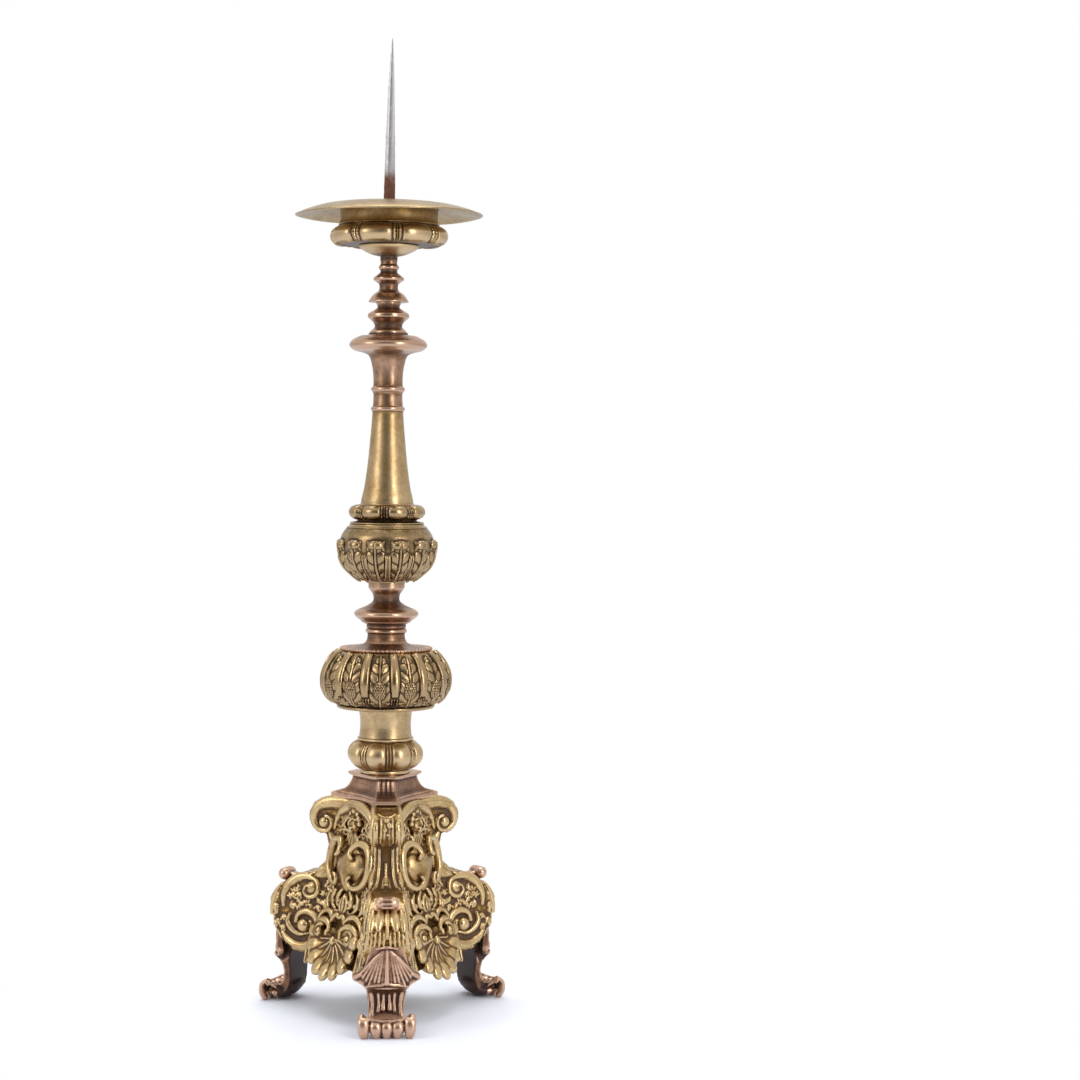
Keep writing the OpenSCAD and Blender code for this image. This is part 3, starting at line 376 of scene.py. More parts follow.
# %% [markdown]
# The stem is a stack of lathe work. Each turned piece takes its outline from its own solid: the
# outline is read row by row, with two rows a hair apart at each edge, so that an edge keeps the
# small bevel that catches the light. It is then spun again with enough sides to look round.

# %% Outlines read from the solids
def outline_of(node, pitch=0.8, edge=0.1):
    """The outer [radius, height] outline of a round solid, in mm, from its foot up."""
    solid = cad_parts[node]
    co = points(solid) * 1000
    a, b = co[edge_ends(solid.data)]
    z0, z1 = co[:, 2].min(), co[:, 2].max()
    rims = np.unique(np.round(co[:, 2], 2))
    rows = np.concatenate([np.arange(z0, z1, pitch), rims - edge, rims + edge])
    rows = np.unique(np.round(np.clip(rows, z0 + 0.01, z1 - 0.01), 3))
    out = []
    for z in rows:
        below, above = np.minimum(a[:, 2], b[:, 2]), np.maximum(a[:, 2], b[:, 2])
        hit = (below <= z) & (above >= z) & (below != above)
        if not hit.any():
            continue
        t = ((z - a[hit, 2]) / (b[hit, 2] - a[hit, 2]))[:, None]
        p = a[hit] + t * (b[hit] - a[hit])
        out.append((np.hypot(p[:, 0], p[:, 1]).max(), z))
    out[0] = (out[0][0], z0)
    out[-1] = (out[-1][0], z1)
    return np.array(out)


def profile_wear(prof, reach=2.2, gain=0.22, base=0.62):
    """How far each point of an outline stands proud of its neighbours within reach mm."""
    run = run_of(prof)
    tangent = np.gradient(prof, run + 1e-6 * np.arange(len(run)), axis=0)
    tangent /= np.maximum(np.linalg.norm(tangent, axis=1), 1e-6)[:, None]
    out = np.zeros(len(prof))
    for r, g in ((reach, gain), (reach * 3, gain * 0.35)):
        before = np.stack([np.interp(run - r, run, prof[:, k]) for k in (0, 1)], 1)
        after = np.stack([np.interp(run + r, run, prof[:, k]) for k in (0, 1)], 1)
        away = prof - 0.5 * (before + after)
        out += g * (away[:, 0] * tangent[:, 1] - away[:, 1] * tangent[:, 0])
    return np.clip(base + out, 0.05, 1)


def turned(node, name, material, slot, around=120, base=0.62):
    """Spins a node's outline again, fine and smooth, and marks its wear."""
    prof = outline_of(node)
    obj = ring_of(prof, around, None, name, material)
    wear = np.repeat(profile_wear(prof, base=base), around)
    set_wear_and_shade(obj, np.concatenate([wear, np.full(2 * around, 0.2)]))
    shade(obj, 50)
    put(obj, "candlestick", slot, node)
    print(name, "rows", len(prof), "triangles", 2 * len(obj.data.polygons))
    return obj

# %% Turned pieces of the stem
for turned_node, turned_metal, turned_slot, turned_base in (
        ("upper_neck", COPPER_TURNED, "copper_alloy", 0.6),
        ("lower_neck", COPPER_TURNED, "copper_alloy", 0.6),
        ("column_neck", COPPER_TURNED, "copper_alloy", 0.6),
        ("column", BRASS_SMOOTH, "cast_brass", 0.6),
        ("mid_baluster", COPPER_TURNED, "copper_alloy", 0.55),
        ("knop_cover", COPPER_TURNED, "copper_alloy", 0.5),
        ("lower_spool", BRASS_SMOOTH, "cast_brass", 0.7)):
    turned(turned_node, turned_node + "_turned", turned_metal, turned_slot, base=turned_base)

# %% [markdown]
# The knops. Each has an outline of its own, given as shares of the solid's radius and height, and
# a relief drawn on one sector: x runs across it and y up the outline, both in millimetres. The
# founder cast them whole and a chaser sharpened the leaves, so edges are crisp and grounds rough.

# %% A knop from its outline and relief
def knop(node, name, shares, relief, parts, steps, rows, gains=(2.0, 0.8), base=0.55,
         metal=BRASS_KNOP, turn=0.0):
    """Builds a carved knop in the place of a solid. shares lists [radius, height] as parts of its size."""
    low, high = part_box(node)
    r = (high.x - low.x) / 2 * 1000
    z0, h = low.z * 1000, (high.z - low.z) * 1000
    prof = curve([(r * a, z0 + h * b) for a, b in shares], rows)
    prof[:, 1] = np.clip(prof[:, 1], z0, z0 + h)
    obj = ring_of(prof, parts * steps, relief, name, metal, parts=parts, turn=turn)
    wear_from_shape(obj, rounds=(5, 26), gains=gains, base=base)
    shade(obj, 60)
    put(obj, "candlestick", "cast_brass", node)
    print(name, "radius", round(r, 1), "height", round(h, 1), "triangles", 2 * len(obj.data.polygons))
    return obj


def sector(x, y, u):
    """Half the sector's width at each point, the distance from its edge, and the share of the height."""
    half = np.abs(x) / np.maximum(np.abs(u), 1e-3)
    return half, (1 - np.abs(u)) * half, y / y.max()


def ridge(d, w):
    """A narrow round ridge across distance d, w wide on each side, with soft feet."""
    return np.exp(-(d / w) ** 2 * 1.6)


def scales(x, y, pitch):
    """Small overlapping scales, 0 to 1."""
    row = np.floor(y / pitch)
    sx = (x / pitch + 0.5 * (row % 2)) % 1.0 - 0.5
    sy = y / pitch - row
    return np.clip(1 - (sx / 0.5) ** 2 - 0.7 * sy ** 2, 0, 1)

# %% Upper knop: twelve leaves with curled tips, and a tongue between each two
UPPER_LEAVES = 12


def upper_knop_relief(x, y, u):
    """One sector with a leaf in its middle and half a tongue at each edge."""
    full = y.max()
    _, side, t = sector(x, y, u)
    h = np.zeros_like(x)
    leaf = acanthus(x, y - full * 0.13, full * 0.6, 24, lobes=4, lean=0.5, rib=0.9)
    h = np.maximum(h, 3.0 * leaf)
    # second row of small leaves behind, seen as folded tips at the shoulder
    fold = bump(np.hypot((side - 2.5) * 0.8, (y - full * 0.69) * 0.9), 4.6)
    h = np.maximum(h, 2.2 * fold * (0.75 + 0.25 * np.cos(side * 2.4)))
    # the curled tip that hangs over the top of the leaf
    curl = bump(np.hypot(x * 0.62, (y - full * 0.70)), 5.2)
    h = np.maximum(h, 4.6 * curl * (1 - 0.28 * ridge(x, 0.9)))
    h -= 1.1 * ridge(y - full * 0.775, 1.3) * (np.abs(x) < 8)
    # the tongue: rounded top, a groove down its middle, dark lines beside it
    body = step(t, 0.1, 0.16) * (1 - step(t, 0.53, 0.6))
    tongue = bump(side, 3.4) * body
    h = np.where(side < 4.6, np.maximum(3.0 * tongue - 0.9 * ridge(side, 0.7) * body, h * (side > 3.6)), h)
    # small curled tips round the foot
    h = np.maximum(h, 2.4 * bump(np.hypot(side * 0.9, y - full * 0.15), 3.2))
    # a smooth shoulder and a fillet above
    h = np.where(t > 0.83, 0, h)
    h += 0.9 * ridge(y - full * 0.955, 1.2)
    return h


knop("upper_knop", "upper_knop_carved",
     [(0.37, 0), (0.375, 0.04), (0.43, 0.065), (0.55, 0.1), (0.64, 0.15), (0.71, 0.2), (0.80, 0.27),
      (0.866, 0.336), (0.92, 0.45), (0.94, 0.58), (0.93, 0.72), (0.9, 0.82), (0.82, 0.92), (0.76, 0.965),
      (0.74, 1)], upper_knop_relief, UPPER_LEAVES, 54, 130)

# %% Lower knop: thirteen smooth tongues with a carved leaf between each two
LOWER_TONGUES = 13


def lower_knop_relief(x, y, u):
    """One sector with a leaf in its middle and half a tongue at each edge."""
    full = y.max()
    _, side, t = sector(x, y, u)
    leaf = acanthus(x, y - full * 0.16, full * 0.74, 23, lobes=5, lean=0.62, rib=0.8)
    h = 2.5 * leaf
    # a swollen, scaled heart in each leaf
    heart = bump(np.hypot(x * 0.95, (y - full * 0.42) * 0.62), 5.6)
    h = np.maximum(h, 2.4 + 1.2 * heart - 0.9 * (1 - scales(x, y, 2.3))) * (heart > 0) + h * (heart <= 0)
    # loose curls beside the tongue's foot
    curl = bump(np.hypot(side - 6.4, y - full * 0.24), 3.0)
    h = np.maximum(h, 2.6 * curl * (0.7 + 0.3 * np.cos((y - full * 0.24) * 2.2)))
    body = step(t, 0.3, 0.36) * (1 - step(t, 0.93, 0.985))
    wide = 4.4 * (0.78 + 0.3 * step(t, 0.3, 0.55) - 0.22 * step(t, 0.6, 0.95))
    tongue = bump(side, wide)
    flutes = step(t, 0.13, 0.16) * (1 - step(t, 0.28, 0.31))
    three = np.maximum(ridge(side, 0.9), ridge(side - 2.7, 0.8))
    near = side < wide + 1.0
    h = np.where(near & (t > 0.3), 3.6 * tongue ** 0.7 * body, h)
    h = np.where((side < 4.2) & (t <= 0.3), 2.4 * three * flutes, h)
    # the plain moulding under the carving, and a fillet above it
    h = np.where(t < 0.12, 0.0, h)
    h -= 1.0 * ridge(y - full * 0.105, 0.9)
    return h


knop("lower_knop", "lower_knop_carved",
     [(0.71, 0.0), (0.735, 0.012), (0.74, 0.05), (0.715, 0.08), (0.75, 0.105), (0.86, 0.19), (0.925, 0.32),
      (0.948, 0.47), (0.93, 0.62), (0.87, 0.77), (0.78, 0.9), (0.67, 1.0)],
     lower_knop_relief, LOWER_TONGUES, 56, 130)

# %% Lobed knop: eight smooth lobes parted by double ridges
LOBED_KNOP_LOBES, SEAM = 8, 3.4          # number of lobes, and half the width of the seam between two


def lobed_relief(x, y, u):
    """A smooth swelling lobe; the seam at the sector's edge holds a pair of narrow ridges."""
    half, side, t = sector(x, y, u)
    rise = np.sin(math.pi * np.clip((t - 0.16) / 0.67, 0, 1)) ** 0.55
    lobe = np.clip(1 - ((half - side) / np.maximum(half - SEAM, 1)) ** 2, 0, 1) ** 0.5
    return (3.9 * lobe + (side < SEAM) * 1.9 * ridge(side - SEAM * 0.42, SEAM * 0.26)) * rise


knop("lobed_knop", "lobed_knop_carved",
     [(0.58, 0), (0.64, 0.01), (0.64, 0.09), (0.6, 0.115), (0.66, 0.15), (0.8, 0.28), (0.885, 0.42),
      (0.9, 0.56), (0.86, 0.7), (0.77, 0.82), (0.7, 0.87), (0.69, 0.9), (0.72, 0.92), (0.72, 0.985),
      (0.6, 1.0)],
     lobed_relief, LOBED_KNOP_LOBES, 64, 110, base=0.68, gains=(1.6, 0.4), metal=BRASS_SMOOTH,
     turn=5.0)

# %% Lobed collar under the column
COLLAR_LOBES = 8


def collar_relief(x, y, u):
    """A broad smooth lobe, and at the sector's edge a tie of three ribs."""
    half, side, t = sector(x, y, u)
    rise = np.sin(math.pi * np.clip((t - 0.3) / 0.6, 0, 1)) ** 0.6
    lobe = np.clip(1 - ((half - side) / np.maximum(half - 4.2, 1)) ** 2, 0, 1) ** 0.5
    three = np.maximum(ridge(side, 0.8), ridge(side - 2.5, 0.8))
    dots = 0.75 + 0.25 * np.cos(y * 2.1)
    return rise * (2.9 * lobe + 2.3 * three * dots * (side < 4.2))


knop("lobed_collar", "lobed_collar_carved",
     [(0.93, 0.0), (0.965, 0.03), (0.96, 0.1), (0.8, 0.15), (0.77, 0.22), (0.82, 0.3), (0.91, 0.42),
      (0.95, 0.58), (0.92, 0.74), (0.82, 0.87), (0.74, 0.93), (0.71, 0.96), (0.7, 1.0)],
     collar_relief, COLLAR_LOBES, 60, 100, base=0.6, gains=(1.8, 0.5), turn=-6.0)

# %% [markdown]
# The base was cast from carved models: scrolls, leaves and shells run into each other. It is
# built here the way a modeller lays clay on a board: closed rolls, balls and ribs are piled up,
# and a voxel remesh joins them into one skin, which rounds the inner corners as casting does.

# %% Clay: closed shapes that a remesh joins
VOXEL = 0.85                             # mm; keeps each thinned piece under 200,000 triangles
KEPT = 0.7                               # share of a skin's triangles that thinning keeps
CLAY_WEAR = {"rounds": (3, 20), "gains": (1.7, 0.85), "unit": 1.0}       # a skin is in mm


class Clay:
    """Collects closed shapes, in mm. x runs across the board, y stands out of it, z is up."""

    def __init__(self):
        self.verts, self.faces, self.count = [], [], 0

    def add(self, verts, faces):
        verts = np.asarray(verts, float)
        self.faces += [[int(i) + self.count for i in f] for f in faces]
        self.verts.append(verts)
        self.count += len(verts)

    def rings(self, rings):
        """A skin over rings of equal length, closed at both ends."""
        n = len(rings[0])
        faces = grid_faces(len(rings), n, closed=False).tolist()
        faces.append(list(range(n))[::-1])
        faces.append([(len(rings) - 1) * n + k for k in range(n)])
        self.add(np.vstack(rings), faces)

    def roll(self, pts, width, thick=None, n=28, out=(0, 1, 0), sides=12):
        """A roll of clay along a path. width and thick are half sizes, across the board and out of it,
        each a number or a list that is spread along the path."""
        path = curve(pts, n) if len(pts) > 2 else np.linspace(pts[0], pts[1], n)
        spread = np.linspace(0, 1, n)
        wide = np.interp(spread, np.linspace(0, 1, np.size(width)), np.atleast_1d(width))
        deep = wide if thick is None else np.interp(spread, np.linspace(0, 1, np.size(thick)),
                                                    np.atleast_1d(thick))
        along = directions(path)
        up = np.asarray(out, float)
        if up.ndim == 1:
            up = np.repeat(up[None], n, 0)
        side = np.cross(along, up)
        side /= np.maximum(np.linalg.norm(side, axis=1), 1e-6)[:, None]
        up = np.cross(side, along)
        ang = angles(sides)
        rings = []
        for end, turns in ((0, (80, 55, 28)), (None, ()), (n - 1, (28, 55, 80))):
            for i in (range(n) if end is None else [end] * len(turns)):
                k, slide = 1.0, 0.0
                if end is not None:
                    t = math.radians(turns[len(rings) if end == 0 else len(rings) - 3 - n])
                    k, slide = math.cos(t), math.sin(t) * min(wide[i],
                                                              deep[i] * 2) * (-1 if end == 0 else 1)
                ring = (path[i] + along[i] * slide + k * (np.cos(ang)[:, None] * side[i] * wide[i]
                                                         + np.sin(ang)[:, None] * up[i] * deep[i]))
                rings.append(ring)
        self.rings(rings)

    def ball(self, at, size, n=14):
        """An ellipsoid with half sizes (x, y, z), or one radius."""
        size = np.full(3, size) if np.size(size) == 1 else np.asarray(size, float)
        ang = angles(n)
        rings = []
        for t in np.linspace(-80, 80, n // 2 + 1):
            c, s = math.cos(math.radians(t)), math.sin(math.radians(t))
            rings.append(np.asarray(at) + np.stack([np.cos(ang) * c, np.sin(ang) * c, np.full(n, s)],
                                                   1) * size)
        self.rings(rings)

    def slab(self, outline, low, high):
        """A plate with a drawn [x, z] outline, between depths low and high (numbers or functions of x, z)."""
        outline = np.asarray(outline, float)
        lo = np.array([low(*p) if callable(low) else low for p in outline])
        hi = np.array([high(*p) if callable(high) else high for p in outline])
        self.rings([np.stack([outline[:, 0], y, outline[:, 1]], 1) for y in (lo, hi)])

    def dome(self, outline, centre, rise, steps=6, power=0.5, low=-2.0):
        """A swelling form over a drawn outline, highest at its centre."""
        outline, centre = np.asarray(outline, float), np.asarray(centre, float)
        rings = [np.stack([outline[:, 0], np.full(len(outline), low), outline[:, 1]], 1)]
        for k in np.linspace(1, 0.04, steps):
            p = centre + (outline - centre) * k
            rings.append(np.stack([p[:, 0], np.full(len(p), rise * (1 - k ** 2) ** power), p[:, 1]], 1))
        self.rings(rings)

    def skin(self, name, voxel, material):
        """Joins the shapes with a voxel remesh, in mm, and returns the skin, still in mm."""
        obj = mesh_object(name, np.vstack(self.verts), self.faces, material)
        remesh = obj.modifiers.new("join", "REMESH")
        remesh.mode = "VOXEL"
        remesh.voxel_size = voxel
        remesh.adaptivity = 0.0
        relax = obj.modifiers.new("relax", "SMOOTH")
        relax.factor, relax.iterations = 0.5, 2
        settle(obj)
        shade(obj, 180)
        return obj

# %% Clay: thinning, and drawing on the board
def thinned(obj, where, keep):
    """Moves the skin's points, merges those that its flat stretches don't need, and gives what is left."""
    move_points(obj, where)
    fewer = obj.modifiers.new("fewer", "DECIMATE")
    fewer.ratio = keep
    return points(settle(obj))


def spiral(at, start, turns, r0, r1, n=14):
    """Points of a spiral round at: from angle start (degrees), through turns, radius r0 to r1."""
    a = np.radians(start + 360 * turns * np.linspace(0, 1, n))
    r = np.linspace(r0, r1, n)
    return [(at[0] + rr * math.cos(t), at[1] + rr * math.sin(t)) for rr, t in zip(r, a)]


def on_board(points, depth):
    """Drawn [x, z] points as board points at a depth (a number, or one for each end)."""
    points = np.asarray(points, float)
    d = np.linspace(*(depth if np.size(depth) == 2 else (depth, depth)), len(points))
    return np.stack([points[:, 0], d, points[:, 1]], 1)


def frond(clay, spine, width, depth, rib, lobes=3, n=12):
    """A leaf on the board: a rib along its spine, and pairs of lobes that bend out and curl at the tip."""
    line = curve(spine, n)
    along = directions(line)
    z = np.linspace(depth[0], depth[1], n)
    clay.roll(np.stack([line[:, 0], z + 0.6, line[:, 1]], 1), [rib, rib * 1.2, rib * 0.8],
              [rib, rib, rib], n=n)
    for i in range(lobes):
        f = (i + 0.4) / lobes
        k = int(f * (n - 1))
        reach = width * math.sin(math.pi * (0.22 + 0.68 * f)) ** 0.8
        for s in (1, -1):
            across = np.array([along[k][1], -along[k][0]]) * s
            p0 = line[k]
            p1 = p0 + across * reach * 0.45 + along[k] * reach * 0.35
            p2 = p0 + across * reach * 0.85 + along[k] * reach * 0.85
            p3 = p0 + across * reach * 1.0 + along[k] * reach * 1.15
            pts = [np.array([p[0], z[k] + up, p[1]]) for p,
                   up in ((p0, 0), (p1, 0.6), (p2, 0.9), (p3, 1.6))]
            clay.roll(pts, [0.9, reach * 0.27, reach * 0.24, 1.0], [0.9, 1.5, 1.4, 1.1], n=10, sides=10)


# %% [markdown]
# Each side panel leans back and hollows like a bell. It is modelled flat on the board and then
# bent: P(z) is the distance of the panel's face from the stem's axis, as in the solid.

# %% The panel's curve
BASE_H = 211.0
PANEL_FOOT_Z = 52.0
PANEL_TOP_AT, PANEL_FOOT_AT = 28.0, 57.0
CORNER_TURN = (-90, 30, 150)
FACE_TURN = (-30, 90, 210)


def panel_at(z):
    """Distance of the panel's face from the axis at height z."""
    f = (BASE_H - z) / (BASE_H - PANEL_FOOT_Z)
    return PANEL_TOP_AT + (PANEL_FOOT_AT - PANEL_TOP_AT) * (0.35 * f + 0.65 * f * f)


def half_bracket(z):
    """Half the width of a bracket at height z: slim beside the throat and broad at the scroll."""
    return np.interp(z, (20, 52, 64, 80, 95, 108, 118, 128, 140, 150, 165, 178, 192, 200, 211),
                     (28.0, 25.1, 23.6, 21.6, 20.2, 18.8, 17.0, 14.4, 12.3, 11.5, 11.3, 11.7, 12.2,
                      11.4, 10.2))


def panel_half(z):
    """Half the width of a panel between its two brackets at height z."""
    return 1.732 * panel_at(z) - 2 * half_bracket(z)

# %% Setting a casting round the stem
def placed(obj, turn_degrees, move):
    """Moves the skin's points (mm) through move(x, y, z), turns them about the stem and makes them metres."""
    p = points(obj)
    x, y, z = move(p[:, 0], p[:, 1], p[:, 2])
    a = math.radians(turn_degrees)
    q = np.stack([x * math.cos(a) - y * math.sin(a), x * math.sin(a) + y * math.cos(a), z], 1) / 1000
    move_points(obj, q)


def twin(obj, name):
    """A copy with its own mesh."""
    other = obj.copy()
    other.data = obj.data.copy()
    other.name = other.data.name = name
    bpy.context.scene.collection.objects.link(other)
    return other


def three_of(first, kind, slot, turns, move):
    """Sets a skin and its two twins round the stem. Each takes the place of kind_1, kind_2 or kind_3."""
    flat = points(first)
    for k, angle in enumerate(turns):
        piece = first if k == 0 else twin(first, "%s_%d_cast" % (kind, k + 1))
        move_points(piece, flat)
        placed(piece, angle, move)
        put(piece, "candlestick", slot, "%s_%d" % (kind, k + 1))
    print(kind, len(flat), "points")


def bend_panel(x, y, z):
    """From the board to the panel: y is the depth out of its face."""
    zc = np.clip(z, 20, BASE_H)
    slope = (panel_at(zc - 1) - panel_at(zc + 1)) / 2
    lean = np.sqrt(1 + slope ** 2)
    return x, panel_at(zc) + y / lean, z + y * slope / lean

# %% Side panel: scrolls and leaves of one half
def panel_board(c):
    """The plain board, as wide as the room between two brackets."""
    edge = [(panel_half(z) + 0.5, z) for z in np.linspace(BASE_H, 50, 40)]
    for (x0, z0), (x1, z1) in zip(edge[:-1], edge[1:]):
        c.slab([(x0, z0), (x1, z1), (-x1, z1), (-x0, z0)], -4.0, 0.0)


def panel_scrolls(c, s):
    """The arch and the C-scroll of one half. s is 1 on the right and -1 on the left."""
    # a broad smooth arch under the cap, down to the bracket's front
    c.roll(on_board([(0, 205.5), (s * 10, 205.0), (s * 20, 202.0), (s * 29, 196.5), (s * 34.5, 189),
                     (s * 37, 179)], (4.0, 4.0)),
           [6.2, 6.2, 6.0, 5.2, 3.8, 1.8], [4.6, 4.4, 3.2], n=36)
    c.roll(on_board([(s * 30, 186), (s * 25.5, 182.5), (s * 22, 187), (s * 25, 192)], (2.0, 3.4)),
           [3.0, 3.0, 1.8], 3.0, n=16)
    # the C-scroll round the shield, from a hook on its top round beside the bracket to a hook below
    c.roll([(s * x, y, z) for x, y, z in ((14.6, 13.4, 155.4), (10.4, 13.6, 158.8), (11.6, 11.6, 165.4),
                                          (18.4, 8.6, 170.4), (27.8, 6.6, 169.4), (35.2, 6.0, 162.6),
                                          (37.8, 5.8, 151), (36.2, 6.0, 139), (29.6, 6.8, 130.4),
                                          (20.4, 8.6, 126.6), (13.2, 10.4, 128.4), (11.0, 12.0, 133.6),
                                          (14.8, 12.8, 136.6))],
           [2.4, 3.0, 3.4, 4.2, 4.8, 4.8, 4.6, 4.2, 3.8, 3.2, 2.8, 2.4, 1.8],
           [2.6, 3.0, 3.6, 4.2, 4.4, 4.4, 4.2, 3.8, 3.2, 2.8, 2.6], n=80)


def panel_leaves(c, s):
    """The leaves of one half, from the head down to the shell."""
    # leaves round the head
    frond(c, [(s * 9, 178), (s * 18, 180.5), (s * 30, 178)], 7.0, (2.0, 4.0), rib=1.5)
    frond(c, [(s * 8, 172), (s * 19, 175), (s * 33, 170)], 6.0, (1.5, 3.0), rib=1.4)
    frond(c, [(s * 10, 198), (s * 17, 196), (s * 22, 190)], 6.0, (2.0, 4.0), rib=1.3, n=10)
    # plain leaf that rises from behind the scroll, and lobes outside it
    c.roll(on_board([(s * 4, 168), (s * 8, 172.5), (s * 10, 176)], 4.0), [3.0, 3.4, 1.6], [3.0, 2.6], n=12)
    for z, r in ((126, 4.4), (119, 4.6), (112, 4.2)):
        frond(c, [(s * (panel_half(z) - 9), z - 5), (s * (panel_half(z) - 6), z),
                  (s * (panel_half(z) - 2.0), z + 4)],
              r, (1.0, 2.6), rib=1.2, n=10)
    # hanging leaves under the shield: curled drops, and a small bud with an eye
    c.roll(on_board([(s * 8, 122), (s * 13, 115), (s * 12, 108), (s * 6, 105)], (4.0, 3.0)),
           [1.8, 3.0, 2.8, 1.6], [2.8, 3.2, 2.4], n=18)
    c.roll(on_board([(s * 20, 121), (s * 24, 114), (s * 22, 106), (s * 17, 103)], (3.0, 2.6)),
           [1.6, 3.0, 2.8, 1.6], [2.6, 3.0, 2.2], n=18)
    c.ball((s * 10.5, 5.2, 111.5), (1.8, 2.2, 2.4))
    c.ball((s * 20.5, 4.4, 109.5), (2.0, 2.4, 2.4))
    c.roll(on_board([(s * 31, 118), (s * 33.5, 109), (s * 30, 101)], 2.4), [1.6, 3.0, 1.6],
           [2.4, 3.0, 2.2], n=14)
    for x, z in ((37, 113), (37.6, 106.5), (36, 100.2), (32.4, 95.2)):
        c.ball((s * x, 2.6, z), (2.3, 2.8, 2.3), n=10)
    frond(c, [(s * 2.5, 100), (s * 8, 98.5), (s * 15, 97)], 4.6, (2.0, 3.6), rib=1.3)


def panel_lips(c, s):
    """Half the frame of the shell: two arched lips, one above the other, and a small volute."""
    c.roll(on_board([(s * 42.5, 86), (s * 37, 94.0), (s * 28, 98.8), (s * 18.5, 97.6), (s * 11.5, 92.0)],
                    (3.4, 6.4)),
           [1.8, 2.8, 3.2, 3.0, 1.8], [2.6, 3.2, 3.2, 2.6], n=34)
    c.roll(on_board([(s * 1.0, 95.5), (s * 5.0, 97.2), (s * 9.5, 95.4), (s * 12.5, 91.0)], (6.4, 6.4)),
           [2.2, 2.6, 2.4, 1.8], 2.8, n=18)
    c.roll(on_board([(s * 42, 76), (s * 38.5, 83.2), (s * 30, 88.6), (s * 21, 89.2), (s * 14, 86.4),
                     (s * 10.5, 82.0)], (5.6, 8.6)),
           [2.0, 3.0, 3.6, 3.6, 3.0, 2.0], [3.0, 3.8, 3.8, 3.0], n=38)
    # the volute under the lips, with its eye
    c.roll(on_board([(s * x, z) for x, z in spiral((28.5, 78.0), 96, -0.95, 7.0, 1.6)], (7.0, 9.8)),
           [2.8, 2.6, 1.8], [3.8, 3.4], n=28)
    c.ball((s * 28.5, 9.6, 78.0), (2.9, 3.0, 2.9))
    c.ball((s * 13.2, 9.6, 78.5), (2.2, 2.4, 3.8))
    # leaf strips beside the shell, against the brackets
    for x, z0, z1, r in ((44.5, 88, 47, 3.0), (49.5, 76, 44, 2.6)):
        c.roll(on_board([(s * x, z0), (s * (x + 1.5), (z0 + z1) / 2), (s * (x - 0.5), z1)], (3.2, 3.0)),
               [1.4, r, 1.4], [2.2, 3.2, 2.2], n=22)

# %% Side panel: head, shield and shell
def panel_head(c):
    """A plain ball of a face with cheeks, brow, nose, lips and chin, curled hair and a collar of petals."""
    head = (0.0, 3.0, 189.0)
    c.ball(head, (8.2, 7.8, 9.8), n=24)
    c.roll([(0, 10.4, 192.5), (0, 12.2, 187.7)], [0.9, 1.5], [0.9, 1.4], n=8)
    c.roll([(-2.1, 10.2, 184.1), (0, 10.9, 183.9), (2.1, 10.2, 184.1)], 0.8, 0.9, n=8)
    c.ball((0, 8.6, 181.1), (2.5, 2.2, 1.9))
    for s in (1, -1):
        c.roll([(s * 1.2, 10.2, 193.1), (s * 3.6, 10.2, 194.1), (s * 6.0, 8.4, 192.7)], 0.8, 0.9, n=8)
        c.ball((s * 3.4, 8.9, 190.5), (1.5, 1.2, 1.1))
        c.ball((s * 4.3, 7.4, 186.1), (2.6, 2.5, 2.5))
        for k in range(7):
            a = math.radians(-8 + 28 * k)
            c.ball((s * 9.2 * math.cos(a), 4.6 + (k % 2), 190.5 + 10.6 * math.sin(a)),
                   (3.1, 3.4, 3.0), n=10)
    c.ball((0, 6.0, 201.0), (3.8, 3.6, 3.0))
    for a in (-62, -31, 0, 31, 62):
        t = math.radians(a)
        c.roll([(4 * math.sin(t), 4.0, 178), (10.5 * math.sin(t), 4.4, 175 - 7.0 * math.cos(t))],
               [1.6, 2.8], [2.0, 2.8], n=10)


def panel_shield(c):
    """A plump egg, broad above and pointed below, with a drop of leaves under it."""
    egg = []
    for k in range(48):
        a = 2 * math.pi * k / 48
        up = math.sin(a)
        wide = 24.5 * (1 - 0.30 * max(-up, 0) ** 1.5)
        tall = 20 if up > 0 else 28 * (1 - 0.06 * abs(math.cos(a)))
        egg.append((wide * math.cos(a), 147 + tall * up))
    c.dome(egg, (0, 147), 14.4, steps=11, power=0.62)
    for s in (1, -1):
        c.roll(on_board([(0, 117), (s * 5, 112), (s * 5.6, 105), (s * 1.5, 99)], (3.8, 3.4)),
               [1.6, 2.4, 2.2, 1.2], [2.4, 3.2, 2.6], n=14)
    c.roll(on_board([(0, 118), (0, 109), (0, 98)], (4.6, 3.8)), [1.4, 2.8, 1.4], [2.2, 3.2, 1.8], n=14)


